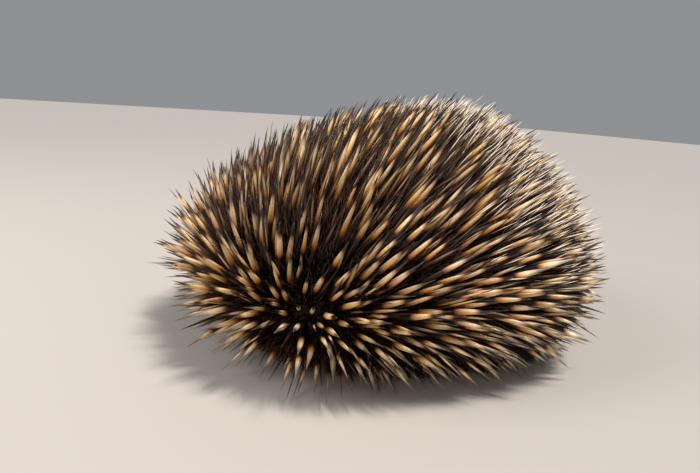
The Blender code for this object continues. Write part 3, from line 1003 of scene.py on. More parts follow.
@dataclass(frozen=True)
class Head:
    """The head, tucked under the coat and turned to its right, with its beak, eyes and ears.

    In its own frame it looks along -Y and its left is +X, so places along it are on Y. Pairs are
    a half width and a half height, unless they say otherwise.
    """

    place: Place = (-0.031, -0.031, 0.0265)
    turn: float = math.radians(-60)
    dip: float = math.radians(12.5)
    skull_half: Pair = (0.0245, 0.0215)
    skull_back: float = 0.029
    skull_widest: float = 0.003
    skull_roundness: float = 2.4
    skull_inside: float = 0.0006  # how far inside its back its first ring is
    ring_spread: float = 1.25  # above 1, rings lie closest at the round back
    least_half: float = 0.0008
    fur: Pair = (0.0015, 0.0003)  # depth of the fur, at the back and on the face
    face_front: float = -0.036
    dive: float = 0.0016  # how far the face dips under the beak's base,
    dive_span: Pair = (0.0025, -0.0030)  # from and to where, from its front
    mound_radius: float = 0.0053  # of the mounds round the eyes
    mound_depth: float = 0.0016
    brow_drop: float = 0.0035
    beak_base: Pair = (0.0098, 0.0092)
    beak_tip: Pair = (0.0042, 0.0036)
    beak_root: float = 0.006  # how far it reaches back under the face's fur
    beak_length: float = 0.056
    beak_rise: float = 0.0030
    slim_by: float = 0.75  # where along the beak it is as slim as its tip
    tip_from: float = 0.93  # where its rounded tip starts,
    tip_reach: float = 0.0715  # and how long that is, both as shares
    tip_blunt: float = 0.004  # how blunt it stays, as a squared share of the beak's thickness
    folds: Place = (0.013, 95.0, 3.0)  # depth, number and fading of the cross folds
    root_slim: float = 0.22  # how much slimmer the hidden end is,
    root_share: float = 0.14  # over this share of the beak
    mouth_length: float = 0.020
    mouth_drop: float = 0.0009  # under the middle line
    mouth_depth: float = 0.0007
    mouth_half: float = 0.00045  # half its height
    mouth_fade: float = 0.004  # length over which it runs out
    mouth_side: float = 0.0012  # how far from the middle it starts
    nostril: Pair = (0.0017, 0.0046)  # to the side, and behind the tip
    nostril_length: float = 2.0  # against its width
    nostril_pit: Pair = (0.0014, 0.0007)  # depth and radius
    nostril_rim: Place = (0.0003, 0.0014, 0.0006)  # height, radius and width
    eye_radius: float = 0.0042
    eye_place: Place = (0.0119, -0.0202, 0.0035)
    gaze: Place = (0.90, -0.40, 0.10)
    cornea: Place = (0.045, 0.80, 0.95)  # its bulge, and from and to where it rises
    slit: Pair = (0.66, 0.43)  # of the lids, as shares of the eyeball
    lid_thick: float = 0.0006
    lid_inside: float = 0.0009  # how far the lids go into the eyeball in the slit
    lid_rim: Pair = (0.92, 1.12)  # from and to where they rise, as shares of the slit
    lid_behind: float = 4.0  # the share that counts for all behind the eye's middle
    lid_folds: tuple[float, ...] = (0.00016, 1.18, 17.0, 1.5)  # height, start, number, fading
    ear_place: Place = (0.0218, 0.0095, 0.0015)
    ear_half: float = 0.0088  # half the fold's length
    ear_curve: float = 0.0045
    ear_round: float = 0.93
    ear_thick: Pair = (0.0026, 0.0016)

    @property
    def frame(self) -> Matrix:
        """The placing of the head's own frame."""
        return (Matrix.Translation(self.place) @ Matrix.Rotation(self.turn, 4, "Z")
                @ Matrix.Rotation(self.dip, 4, "X"))

    @property
    def beak_front(self) -> float:
        """Where along the head the beak ends."""
        return self.face_front - self.beak_length

    def skull_halves(self, along: float) -> Pair:
        """The head's thickness.

        Args:
            along: A place along it.

        Returns:
            Half its width and half its height there.
        """
        if along >= self.skull_widest:
            share = (along - self.skull_widest) / (self.skull_back - self.skull_widest)
            rounded = math.sqrt(max(1 - share ** self.skull_roundness, 0.0))
            return self.skull_half[0] * rounded, self.skull_half[1] * rounded
        share = float(ease(along, self.skull_widest, self.face_front))
        return (mix(self.skull_half[0], self.beak_base[0], share),
                mix(self.skull_half[1], self.beak_base[1], share))

    def line(self, along: float) -> float:
        """Height of the middle line: the brow falls to the beak, which curves up again.

        Args:
            along: Place along the head's own frame.

        Returns:
            The height in that frame.
        """
        if along > self.face_front:
            return -self.brow_drop * float(ease(along, self.skull_widest, self.face_front))
        share = (self.face_front - along) / self.beak_length
        return -self.brow_drop + self.beak_rise * share * share

    def eye(self, side: int) -> Vector:
        """The middle of one eye, in the head's frame."""
        return Vector((side * self.eye_place[0], *self.eye_place[1:]))

    def look(self, side: int) -> Vector:
        """The way that one eye looks, in the head's frame."""
        return Vector((side * self.gaze[0], *self.gaze[1:])).normalized()

    def skull(self) -> list[bmesh.types.BMesh]:
        """The skull and face with the mounds of the eyes, slimmer than the solid by the fur.

        Returns:
            Closed shapes that overlap.
        """
        dive_from, dive_to = (self.face_front + reach for reach in self.dive_span)
        stations = []
        for share in shares(rings=26):
            share = share ** self.ring_spread
            along = mix(self.skull_back - self.skull_inside, dive_to, share)
            shown = max(along, self.face_front)
            slim = mix(*self.fur, share) + self.dive * float(ease(along, dive_from, dive_to))
            halves = [max(half - slim, self.least_half) for half in self.skull_halves(shown)]
            stations.append(station(Vector((0, along, self.line(shown))), SIDE, UP, *halves))
        shapes = [loft(stations, segments=36)]
        for side in (-1, 1):
            mound = new_ball(columns=24, rows=16, radius=self.mound_radius)
            centre = self.eye(side) - self.look(side) * self.mound_depth
            bmesh.ops.translate(mound, vec=centre, verts=mound.verts)
            shapes.append(mound)
        for shape in shapes:
            bmesh.ops.transform(shape, matrix=self.frame, verts=shape.verts)
        return shapes

    def ear_fold(self, side: int) -> bmesh.types.BMesh:
        """The raised fold round one ear slit.

        Args:
            side: 1 for the left ear, -1 for the right.

        Returns:
            The closed shape.
        """
        stations = []
        for share in shares(rings=9):
            swing = (share - 0.5) * 2
            thick = math.sqrt(1 - (swing * self.ear_round) ** 2)
            centre = Vector((side * self.ear_place[0],
                             self.ear_place[1] + self.ear_curve * swing * swing,
                             self.ear_place[2] + self.ear_half * swing))
            halves = [half * thick for half in self.ear_thick]
            stations.append(station(centre, SIDE, BACK, *halves))
        shape = loft(stations, segments=12)
        bmesh.ops.transform(shape, matrix=self.frame, verts=shape.verts)
        return shape

    def carve(self, vert: bmesh.types.BMVert) -> None:
        """Draws the beak in where it has its mouth slit and its nostrils.

        Args:
            vert: One corner of the beak, which is moved.
        """
        behind = vert.co.y - self.beak_front
        middle = self.line(vert.co.y)
        if behind < self.mouth_length and abs(vert.co.x) > self.mouth_side:
            # A slit low along both sides and round the tip.
            off = (vert.co.z - (middle - self.mouth_drop)) / self.mouth_half
            depth = self.mouth_depth * math.exp(-off ** 2)
            depth *= min(1.0, (self.mouth_length - behind) / self.mouth_fade)
            vert.co.x -= math.copysign(depth, vert.co.x)
        for side in (-1, 1):
            # A small pit on top, close behind the tip, with a faint rim.
            gap = math.hypot(vert.co.x - side * self.nostril[0],
                             (behind - self.nostril[1]) / self.nostril_length)
            if vert.co.z > middle:
                pit, pit_radius = self.nostril_pit
                rim, rim_radius, rim_width = self.nostril_rim
                vert.co.z -= pit * math.exp(-(gap / pit_radius) ** 2)
                vert.co.z += rim * math.exp(-((gap - rim_radius) / rim_width) ** 2)

    def beak_mesh(self) -> bpy.types.Mesh:
        """The beak, with its mouth slit near the tip, two nostrils and a few cross folds.

        Returns:
            The mesh, with the attribute along.
        """
        back, whole = self.face_front + self.beak_root, self.beak_root + self.beak_length
        fold_depth, fold_count, fold_fade = self.folds
        stations = []
        for share in shares(rings=60):
            along = back - whole * share
            reach = max((self.face_front - along) / self.beak_length, 0.0)
            slim = 1 - (1 - min(reach / self.slim_by, 1.0)) ** 2
            past = max((reach - self.tip_from) / self.tip_reach, 0.0)
            rounded = math.sqrt(max(1 - past * past, self.tip_blunt))
            fold = 1 - fold_depth * math.sin(reach * fold_count) * math.exp(-reach * fold_fade)
            fold -= self.root_slim * (1 - float(ease(share, 0, self.root_share)))
            halves = [mix(base, tip, slim) * rounded * fold
                      for base, tip in zip(self.beak_base, self.beak_tip)]
            height = self.line(min(along, self.face_front))
            stations.append(station(Vector((0, along, height)), SIDE, UP, *halves))
        shape = loft(stations, segments=48)
        for vert in shape.verts:
            self.carve(vert)
        along = [(back - vert.co.y) / whole for vert in shape.verts]
        bmesh.ops.transform(shape, matrix=self.frame, verts=shape.verts)
        mesh = shape_to_mesh("beak", shape)
        mesh.attributes.new("along", "FLOAT", "POINT").data.foreach_set("value", along)
        return mesh

    def ball(self, side: int, radius_at: Callable[[Vector], float], name: str) -> bpy.types.Mesh:
        """A ball at one eye, its pole the way the eye looks, drawn in and out by a function.

        Args:
            side: 1 for the left eye, -1 for the right.
            radius_at: Gives the radius for a unit vector, its z being the way that the eye looks.
            name: The mesh's name.

        Returns:
            The mesh.
        """
        shape = new_ball(columns=56, rows=44)
        for vert in shape.verts:
            vert.co = vert.co * radius_at(vert.co.normalized())
        turned = self.look(side).to_track_quat("Z", "Y").to_matrix().to_4x4()
        placed = self.frame @ Matrix.Translation(self.eye(side)) @ turned
        bmesh.ops.transform(shape, matrix=placed, verts=shape.verts)
        return shape_to_mesh(name, shape)

    def eye_radius_at(self, way: Vector) -> float:
        """The eyeball, with the slight bulge of its cornea."""
        bulge, rises_from, rises_to = self.cornea
        return self.eye_radius * (1 + bulge * float(ease(way.z, rises_from, rises_to)))

    def lid_radius_at(self, way: Vector) -> float:
        """Both lids: a skin over the eyeball, open in an almond, with a thick rim and folds.

        Args:
            way: Unit vector in the eye's own frame, whose Z looks out.

        Returns:
            How far the lids reach that way.
        """
        gap = math.hypot(way.x / self.slit[0], way.y / self.slit[1])
        gap = gap if way.z > 0 else self.lid_behind
        shut = float(ease(gap, *self.lid_rim))
        height, start, number, fading = self.lid_folds
        fold = height * math.cos((gap - start) * number) * math.exp(-abs(gap - start) * fading)
        return mix(self.eye_radius - self.lid_inside, self.eye_radius + self.lid_thick,
                   shut) + fold * shut

    def build(self, beak_finish: bpy.types.Material, eye_finish: bpy.types.Material,
              lid_finish: bpy.types.Material) -> bpy.types.Object:
        """Puts beak, eyes and lids in the scene.

        Args:
            beak_finish: For the beak.
            eye_finish: For the eyes.
            lid_finish: For the lids.

        Returns:
            The beak.
        """
        beak = new_piece("beak_skin", self.beak_mesh(), beak_finish)
        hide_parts("beak")
        for tag, side in (("l", 1), ("r", -1)):
            eye = new_piece("eyeball_" + tag, self.ball(side, self.eye_radius_at, "eyeball"),
                            eye_finish)
            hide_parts("eye_" + tag)
            new_piece("lids_" + tag, self.ball(side, self.lid_radius_at, "lids"), lid_finish)
        return beak


# ------------------------------------------------------------------ legs


@dataclass(frozen=True)
class Foot:
    """One short leg with its broad paw and five digging claws."""

    name: str
    knee: Place
    paw: Place
    turn: float  # from straight ahead
    leg_half: Pair  # half width and half height at the knee
    claw_lengths: tuple[float, ...]
    clear: Pair = (0.011, 0.005)  # how far spines keep from the paw and from the claws
    paw_half: Pair = (0.0150, 0.0085)
    paw_from: float = 0.8  # where along the leg it is as low as the paw
    fur: float = 0.001
    ankle: Pair = (0.010, 0.003)  # behind and above the paw's middle
    front_round: Pair = (0.70, 0.31)  # where the rounding starts, and its reach
    back_round: Pair = (0.24, 0.26)
    round_power: float = 2.2
    toe_radius: float = 0.0155
    toe_half: Place = (0.0040, 0.0062, 0.0042)
    toe_low: float = 0.8  # how low the leg ends, as a share of the paw
    toe_level: float = 0.0046
    toe_ahead: float = 0.0005  # of the claw's root
    toe_fan: float = 2.4  # how much wider the toes spread than their claws
    claw_half: Pair = (0.0026, 0.0020)
    claw_spread: float = math.radians(13)
    claw_taper: Pair = (0.25, 0.45)  # of its whole length, and where the worn point starts
    claw_least: float = 0.0005  # least half thickness,
    claw_end: float = 0.00018  # and that of the very end
    claw_level: float = 0.0006  # of its underside
    root_depth: float = 0.004  # how far the claw reaches into the toe
    hook: float = 0.0021

    def ways(self, turn: float) -> tuple[Vector, Vector]:
        """The way ahead and the way to the side for something that points along a turn."""
        ahead = Vector((math.sin(turn), -math.cos(turn), 0))
        return ahead, Vector((ahead.y, -ahead.x, 0))

    def leg(self) -> list[bmesh.types.BMesh]:
        """The leg and paw with its five toes, a little slimmer than the solid for the fur.

        Returns:
            Closed shapes that overlap.
        """
        ahead, side = self.ways(self.turn)
        knee, paw = Vector(self.knee), Vector(self.paw)
        ankle = paw - ahead * self.ankle[0]
        ankle.z = paw.z + self.ankle[1]
        toes = paw + ahead * self.toe_radius
        toes.z = self.paw_half[1] * self.toe_low
        stations = []
        for share in shares(rings=20):
            centre = knee.lerp(ankle, share).lerp(ankle.lerp(toes, share), share)
            narrow = float(ease(share, 0, self.paw_from))
            front = max((share - self.front_round[0]) / self.front_round[1], 0.0)
            back = max((self.back_round[0] - share) / self.back_round[1], 0.0)
            rounded = math.prod(math.sqrt(max(1 - past ** self.round_power, 0.0))
                                for past in (front, back))
            halves = [(mix(upper, lower, narrow) - self.fur) * rounded
                      for upper, lower in zip(self.leg_half, self.paw_half)]
            stations.append(station(centre, side, UP, *halves))
        shapes = [loft(stations, segments=24)]
        for toe in range(len(self.claw_lengths)):
            root, _, ahead, side = self.toe(toe)
            wide, long, tall = self.toe_half
            mound = new_ball(columns=16, rows=12)
            placed = placing(side * wide, -ahead * long, side.cross(-ahead) * tall,
                             Vector((root.x, root.y, self.toe_level)) + ahead * self.toe_ahead)
            bmesh.ops.transform(mound, matrix=placed, verts=mound.verts)
            shapes.append(mound)
        for shape in shapes:
            for vert in shape.verts:
                vert.co.z = max(vert.co.z, SKIN_LEVEL)
        return shapes

    def toe(self, toe: int) -> tuple[Vector, float, Vector, Vector]:
        """Where one toe's claw is.

        Args:
            toe: Number of the toe, from 0.

        Returns:
            The claw's root, its length from there, its way ahead and its side.
        """
        spread = (toe - 2) * math.copysign(self.claw_spread, self.turn)
        root_way, _ = self.ways(self.turn + spread * self.toe_fan)
        root = Vector(self.paw) + root_way * (self.toe_radius - self.root_depth)
        return (root, self.claw_lengths[toe] + self.root_depth, *self.ways(self.turn + spread))

    def claw_mesh(self, toe: int) -> bpy.types.Mesh:
        """One claw: flattened, gently hooked, with a blunt worn point.

        Args:
            toe: Its number, from 0.

        Returns:
            The mesh, with the attribute along.
        """
        root, length, ahead, side = self.toe(toe)
        taper, worn_from = self.claw_taper
        stations = []
        for share in shares(rings=14):
            worn = max(share - worn_from, 0.0) / (1 - worn_from)
            girth = 1 - taper * share - (1 - taper) * worn
            wide, tall = (max(half * girth, self.claw_least) for half in self.claw_half)
            if share == 1:
                wide = tall = self.claw_end
            centre = root + ahead * length * share
            centre.z = self.claw_level + tall + self.hook * (1 - share * share)
            stations.append(station(centre, side, UP, wide, tall))
        mesh = shape_to_mesh("claw", loft(stations, segments=14))
        layer = mesh.attributes.new("along", "FLOAT", "POINT")
        for vert, value in zip(mesh.vertices, layer.data):
            flat = Vector((vert.co.x - root.x, vert.co.y - root.y, 0))
            value.value = max(0.0, flat.dot(ahead) / length)
        return mesh

    def build(self, horn: bpy.types.Material) -> None:
        """Puts the five claws in the scene.

        Args:
            horn: Finish of the claws.
        """
        for toe in range(len(self.claw_lengths)):
            node = self.name.replace("leg", "claw") + "_" + str(toe + 1)
            claw = new_piece(node + "_horn", self.claw_mesh(toe), horn)
            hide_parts(node)


FORE_LEG = (0.0175, 0.0170)
HIND_LEG = (0.0190, 0.0180)
FORE_CLAWS = (0.015, 0.021, 0.024, 0.022, 0.016)
HIND_CLAWS = (0.013, 0.030, 0.024, 0.019, 0.015)
SHOWN_CLEAR = (0.015, 0.010)  # round the feet that reach furthest out
FEET = (
    Foot("foreleg_l", (0.032, -0.010, 0.030), (0.052, -0.037, 0.0075), math.radians(26),
         FORE_LEG, FORE_CLAWS),
    Foot("foreleg_r", (-0.060, 0.016, 0.030), (-0.090, 0.004, 0.0075), math.radians(-78),
         FORE_LEG, FORE_CLAWS, SHOWN_CLEAR),
    Foot("hindleg_l", (0.038, 0.059, 0.032), (0.055, 0.073, 0.0080), math.radians(118),
         HIND_LEG, HIND_CLAWS),
    Foot("hindleg_r", (-0.040, 0.060, 0.032), (-0.060, 0.075, 0.0080), math.radians(-120),
         HIND_LEG, HIND_CLAWS, SHOWN_CLEAR),
)


# ------------------------------------------------------------------ skin


@dataclass(frozen=True)
class Skin:
    """One skin over body, head and legs, inside the solids by the depth of the coat."""

    voxel: float = 0.0017
    softening: tuple[float, int] = (0.5, 4)  # strength, and how often
    belly_middle: Pair = (0.0, 0.040)
    belly_half: Pair = (0.052, 0.060)
    underside: float = 0.030  # height of the underside beside the belly
    underside_span: Pair = (0.9, 1.6)  # from and to where it rises, as shares of the belly
    throat: float = 0.040  # its height over the head
    throat_span: Pair = (0.8, 1.3)
    throat_reach: Pair = (0.075, 0.035)  # from and to where it rises, from the head's middle

    def underside_height(self, points: np.ndarray, head: Head) -> np.ndarray:
        """Height of the body's underside, level on the belly and raised for head and legs.

        Args:
            points: Points of the body.
            head: The head.

        Returns:
            The height at each point.
        """
        flat = points[:, :2]
        off = np.hypot(*((flat - self.belly_middle) / self.belly_half).T)
        near = np.hypot(*(flat - head.place[:2]).T)
        beside = self.underside * ease(off, *self.underside_span)
        over = self.throat * ease(near, *self.throat_reach) * ease(off, *self.throat_span)
        return np.maximum(beside, over) + SKIN_LEVEL

    def torso(self, head: Head) -> bmesh.types.BMesh:
        """The body without head and legs: a ball drawn out to the dome's inner form.

        Args:
            head: The head, which the underside makes room for.

        Returns:
            The closed shape.
        """
        shape = new_ball(columns=120, rows=90)
        ways = np.array([vert.co[:] for vert in shape.verts])
        turn = np.arctan2(ways[:, 1], ways[:, 0])
        climb = np.arcsin(np.clip(ways[:, 2], -1, 1))
        points = DOME.point(turn, climb, LIE.depth(LIE.skin_depths, turn, climb))
        points[:, 2] = np.maximum(points[:, 2], self.underside_height(points, head))
        for vert, place in zip(shape.verts, points):
            vert.co = place
        return shape

    def build(self, head: Head, finish: bpy.types.Material) -> bpy.types.Object:
        """Joins everything of flesh into one closed skin.

        Args:
            head: The head.
            finish: The skin's material.

        Returns:
            The skin.
        """
        parts = [self.torso(head), *head.skull(), head.ear_fold(1), head.ear_fold(-1)]
        for foot in FEET:
            parts += foot.leg()
        rough = new_object("rough_skin", shape_to_mesh("rough_skin", joined(parts)))
        remesh = rough.modifiers.new("one skin", "REMESH")
        remesh.mode = "VOXEL"
        remesh.voxel_size = self.voxel
        soften = rough.modifiers.new("soften", "SMOOTH")
        soften.factor, soften.iterations = self.softening
        bpy.context.view_layer.update()
        evaluated = rough.evaluated_get(bpy.context.evaluated_depsgraph_get())
        mesh = bpy.data.meshes.new_from_object(evaluated)
        bpy.data.objects.remove(rough)
        mesh.name = "skin"
        mesh.shade_smooth()
        skin = new_piece("skin", mesh, finish)
        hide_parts("neck", "shoulders", "trunk", "rump", "tail", "head", "ear_l", "ear_r",
                    *(foot.name for foot in FEET))
        return skin


# ------------------------------------------------------------------ coat


SPINE_FORM = StrandForm(6, (0.0, 0.25, 0.44, 0.58, 0.70, 0.79, 0.90),
                        (0.58, 0.88, 1.00, 0.96, 0.78, 0.55, 0.27), (0.003, 0.006))
THIN_FORM = StrandForm(5, (0.0, 0.35, 0.62, 0.85), (0.7, 1.0, 0.8, 0.36), (0.003, 0.006))
BRISTLE_FORM = StrandForm(5, (0.0, 0.35, 0.62, 0.85), (0.7, 1.0, 0.8, 0.36))
FUR_FORM = StrandForm(3, (0.0, 0.55), (1.0, 0.75))


@dataclass(frozen=True)
class Family:
    """One family of long strands, and how it differs over the body."""

    name: str
    kind: CoatKind
    form: StrandForm
    spacing: float
    seed: int
    lengths: Pair
    halves: Pair
    covers: Place  # share that grows on the sides, the back and the rump
    rump_from: float  # height above which the rump's share holds
    bands: Pair  # strength of the straw band, least and greatest
    band_rarity: float = 0.7  # above 1, most have less of it
    band_on_back: float = 1.0  # its share on the back
    wander: float = 0.06
    bend: float = 0.0009
    thinner_ahead: float = 0.0  # how much less of it grows on the upper front
    inside: float = 0.0  # how far its tips stay inside the outline, as a share
    hem_missing: float = 0.25  # how much less of it grows at the hem
    front_span: Pair = (0.34, 0.20)  # shares back, from and to where the front starts,
    upper_span: Pair = (0.055, 0.095)  # and heights where its upper part does
    rear_span: Pair = (0.47, 0.67)  # shares back where the rump starts,
    rump_rise: float = 0.05  # and over how much height
    back_span: Pair = (0.090, 0.140)  # heights where the back starts,
    hem_span: Pair = (0.050, 0.020)  # and where the hem does

    def thinning(self, height: np.ndarray, share: np.ndarray) -> np.ndarray:
        """How much of the family is missing on the upper front.

        Args:
            height: Heights above the floor.
            share: Shares back.

        Returns:
            Shares from 0 to 1.
        """
        return self.thinner_ahead * ease(share, *self.front_span) * ease(height, *self.upper_span)

    def cover(self, height: np.ndarray, share: np.ndarray) -> np.ndarray:
        """How much of the family grows at places.

        Args:
            height: Heights above the floor.
            share: Shares back.

        Returns:
            Shares from 0 to 1.
        """
        behind = ease(share, *self.rear_span) * ease(height, self.rump_from,
                                                     self.rump_from + self.rump_rise)
        cover = mix(self.covers[0], self.covers[1], ease(height, *self.back_span))
        cover = cover * (1 - self.hem_missing * ease(height, *self.hem_span))
        cover = cover * (1 - self.thinning(height, share))
        return mix(cover, self.covers[2], behind)


FAMILIES = (
    Family("spines", CoatKind.SPINE, SPINE_FORM, 0.0073, 13, (0.046, 0.054), (0.0013, 0.0021),
           (0.88, 0.40, 0.30), 0.085, (0.55, 1.0), thinner_ahead=0.50),
    Family("thin_spines", CoatKind.SPINE, THIN_FORM, 0.0060, 19, (0.038, 0.050),
           (0.0006, 0.0012), (0.55, 1.0, 0.75), 0.045, (0.0, 0.9), 2.5, 0.15, 0.09),
    Family("bristles", CoatKind.BRISTLE, BRISTLE_FORM, 0.0031, 29, (0.036, 0.048),
           (0.0004, 0.0008), (0.0, 0.0, 1.0), 0.060, (1.0, 1.0), 1.0, 1.0, 0.09, 0.0012,
           inside=0.015),
)


@dataclass(frozen=True)
class LongFur:
    """The tufts of dark fur between the spines."""

    spacing: float = 0.0034
    quick_spacing: float = 0.0068  # twice the spacing; while trying things
    hairs: int = 5  # in a tuft
    seeds: tuple[int, int] = (41, 42)  # of the hairs and of the tufts' places
    over_skin: float = 0.001  # height of the roots
    lift: float = 0.25  # how much straighter it stands than the spines
    spread: float = 0.0007  # of the roots in a tuft
    wander: float = 0.20
    levels: Pair = (0.81, 0.94)  # how far out the tips come, as shares of the outline
    lengths: Pair = (0.006, 0.030)
    halves: Pair = (0.00032, 0.00050)  # thicker than real hair, which is too fine to show
    bend: float = 0.0016
    tone_wander: float = 0.2  # within a tuft

    def grow(self) -> Strands:
        """Grows the tufts.

        Returns:
            Their hairs.
        """
        chance = np.random.default_rng(self.seeds[0])
        turn, climb = scatter(self.spacing, self.seeds[1],
                              False)
        depth = LIE.depth(LIE.skin_depths, turn, climb)
        roots = DOME.point(turn, climb, depth + self.over_skin)
        normals = DOME.normal(turn, climb, depth)
        ways = unit(LIE.ways(roots, normals) + normals * self.lift)
        many, count = self.hairs, len(turn) * self.hairs
        roots = np.repeat(roots, many, 0) + chance.normal(0, self.spread, (count, 3))
        ways = unit(np.repeat(ways, many, 0) + chance.normal(0, self.wander, (count, 3)))
        target = mix(*self.levels, chance.random(count))
        lengths = np.maximum(DOME.way_out(roots, ways, target, self.lengths[1]), self.lengths[0])
        halves = mix(*self.halves, chance.random(count))
        bends = chance.normal(0, self.bend, (count, 3))
        tones = np.repeat(chance.random(len(turn)), many) + chance.normal(0, self.tone_wander,
                                                                          count)
        return Strands.hairs(roots, ways, lengths, halves, bends, np.clip(tones, 0, 1),
                             np.repeat(unwrap(turn, climb), many, 0))


@dataclass(frozen=True)
class ShortFur:
    """The short fur of head, legs and underside, rooted on the skin itself.

    Densities are in tufts to a square metre. It is shortest on the face and the feet, and lies
    back or down the limb.
    """

    seed: int = 53
    hairs: int = 4  # in a tuft
    quick_share: float = 0.3  # of the tufts, while trying things
    head_density: float = 0.38e6
    limb_density: float = 0.14e6
    under_density: float = 0.055e6
    head_lengths: Pair = (0.0017, 0.0060)  # on the face and at the back of the head
    head_span: Pair = (-0.046, 0.004)  # from and to where they lengthen, along the head
    limb_length: float = 0.0045
    under_length: float = 0.011
    limb_way: float = -0.5  # how much hairs of the limbs point down
    under_way: Place = (0.0, 0.8, -0.3)
    under_facing: float = -0.25  # how much the skin faces down where the underside starts
    flats: Pair = (0.003, 0.0035)  # heights under which body and limbs are bare
    beak_span: Pair = (-0.010, -0.002)  # where hairs begin on the beak, from the face's front,
    beak_from: float = 0.002  # and how far they go on under the face
    head_margin: float = 0.001  # how far hairs of the head root off its own form,
    snout_margin: float = 0.009  # and ahead of the face's front
    bald_round_eye: float = 0.0056
    bald_round_beak: float = 0.013
    limb_from: float = 0.1  # where along its bone a limb's own fur starts
    limb_reach: float = 0.020
    lift: float = 0.42  # how steeply it stands on the skin
    wander: float = 0.16
    spread: float = 0.0010  # of the roots in a tuft
    root_depth: float = 0.0008
    halves: Pair = (0.00017, 0.00027)
    bend: float = 0.0004
    differ: Pair = (0.7, 1.2)  # the shortest and the longest, as shares
    map_lowest: float = -1.38  # lowest climb on the bake map

    def grow(self, skin: bpy.types.Object, beak: bpy.types.Object, head: Head) -> Strands:
        """Grows the hairs.

        Args:
            skin: The finished skin.
            beak: The finished beak, whose base has hairs too.
            head: The head.

        Returns:
            The hairs.
        """
        chance = np.random.default_rng(self.seed)
        spots, normals, areas = (np.concatenate(facts)
                                 for facts in zip(face_facts(skin), face_facts(beak)))
        on_beak = np.arange(len(areas)) >= len(skin.data.polygons)
        inverse = np.array(head.frame.inverted())
        local = spots @ inverse[:3, :3].T + inverse[:3, 3]
        along, height = local[:, 1] - head.face_front, spots[:, 2]
        wide, tall = (half + self.head_margin for half in head.skull_half)
        on_head = ((abs(local[:, 0]) < wide) & (along > -self.snout_margin)
                   & (abs(local[:, 2]) < tall)
                   & (local[:, 1] < head.skull_back))
        mirrored = np.stack([abs(local[:, 0]), local[:, 1], local[:, 2]], -1)
        near_eye = np.linalg.norm(mirrored - head.eye_place, axis=1) <= self.bald_round_eye
        density = np.where(on_head & ~near_eye, self.head_density, 0.0)
        density = density * ease(along, *self.beak_span)
        density[on_beak & (along > self.beak_from)] = 0.0
        lengths = np.where(on_head, mix(*self.head_lengths, ease(local[:, 1], *self.head_span)),
                           self.under_length)
        ways = np.where(on_head[:, None], np.array(head.frame.to_3x3() @ BACK), self.under_way)
        near_beak = (np.hypot(local[:, 0], local[:, 2]) < self.bald_round_beak) & (local[:, 1] < 0)
        off_head = ~on_head & ~on_beak
        density[off_head & ~near_beak & (normals[:, 2] < self.under_facing)
                & (height > self.flats[0])] = self.under_density
        for foot in FEET:
            bone = Span(np.array(foot.knee), np.array(foot.paw))
            limb = (off_head & (bone.along(spots) > self.limb_from)
                    & (bone.off(spots) < self.limb_reach) & (height > self.flats[1]))
            density[limb], lengths[limb] = self.limb_density, self.limb_length
            ways[limb] = [*unit(bone.end - bone.start)[:2], self.limb_way]
        density = density * 1.0
        chosen = np.repeat(np.arange(len(areas)), chance.poisson(areas * density))
        own = np.repeat(chosen, self.hairs)
        count, upright = len(own), normals[own]
        lie = unit(ways[own] - (ways[own] * upright).sum(1, keepdims=True) * upright)
        lie = unit(lie + upright * self.lift + chance.normal(0, self.wander, (count, 3)))
        roots = spots[own] + np.cross(upright, chance.normal(0, self.spread, (count, 3)))
        lengths = lengths[own] * mix(*self.differ, chance.random(count))
        halves = mix(*self.halves, chance.random(count))
        bends, tones = chance.normal(0, self.bend, (count, 3)), chance.random(count)
        out = spots[chosen] - [0.0, DOME.widest_y, DOME.widest_level]
        climb = np.arctan2(out[:, 2], np.hypot(out[:, 0], out[:, 1]))
        patches = unwrap(np.arctan2(out[:, 1], out[:, 0]), np.maximum(climb, self.map_lowest))
        strands = Strands.hairs(roots - upright * self.root_depth, lie, lengths, halves, bends,
                                tones, np.repeat(patches, self.hairs, 0))
        return strands.keep(strands.at(1.0)[:, 2] > FLOOR_GAP)


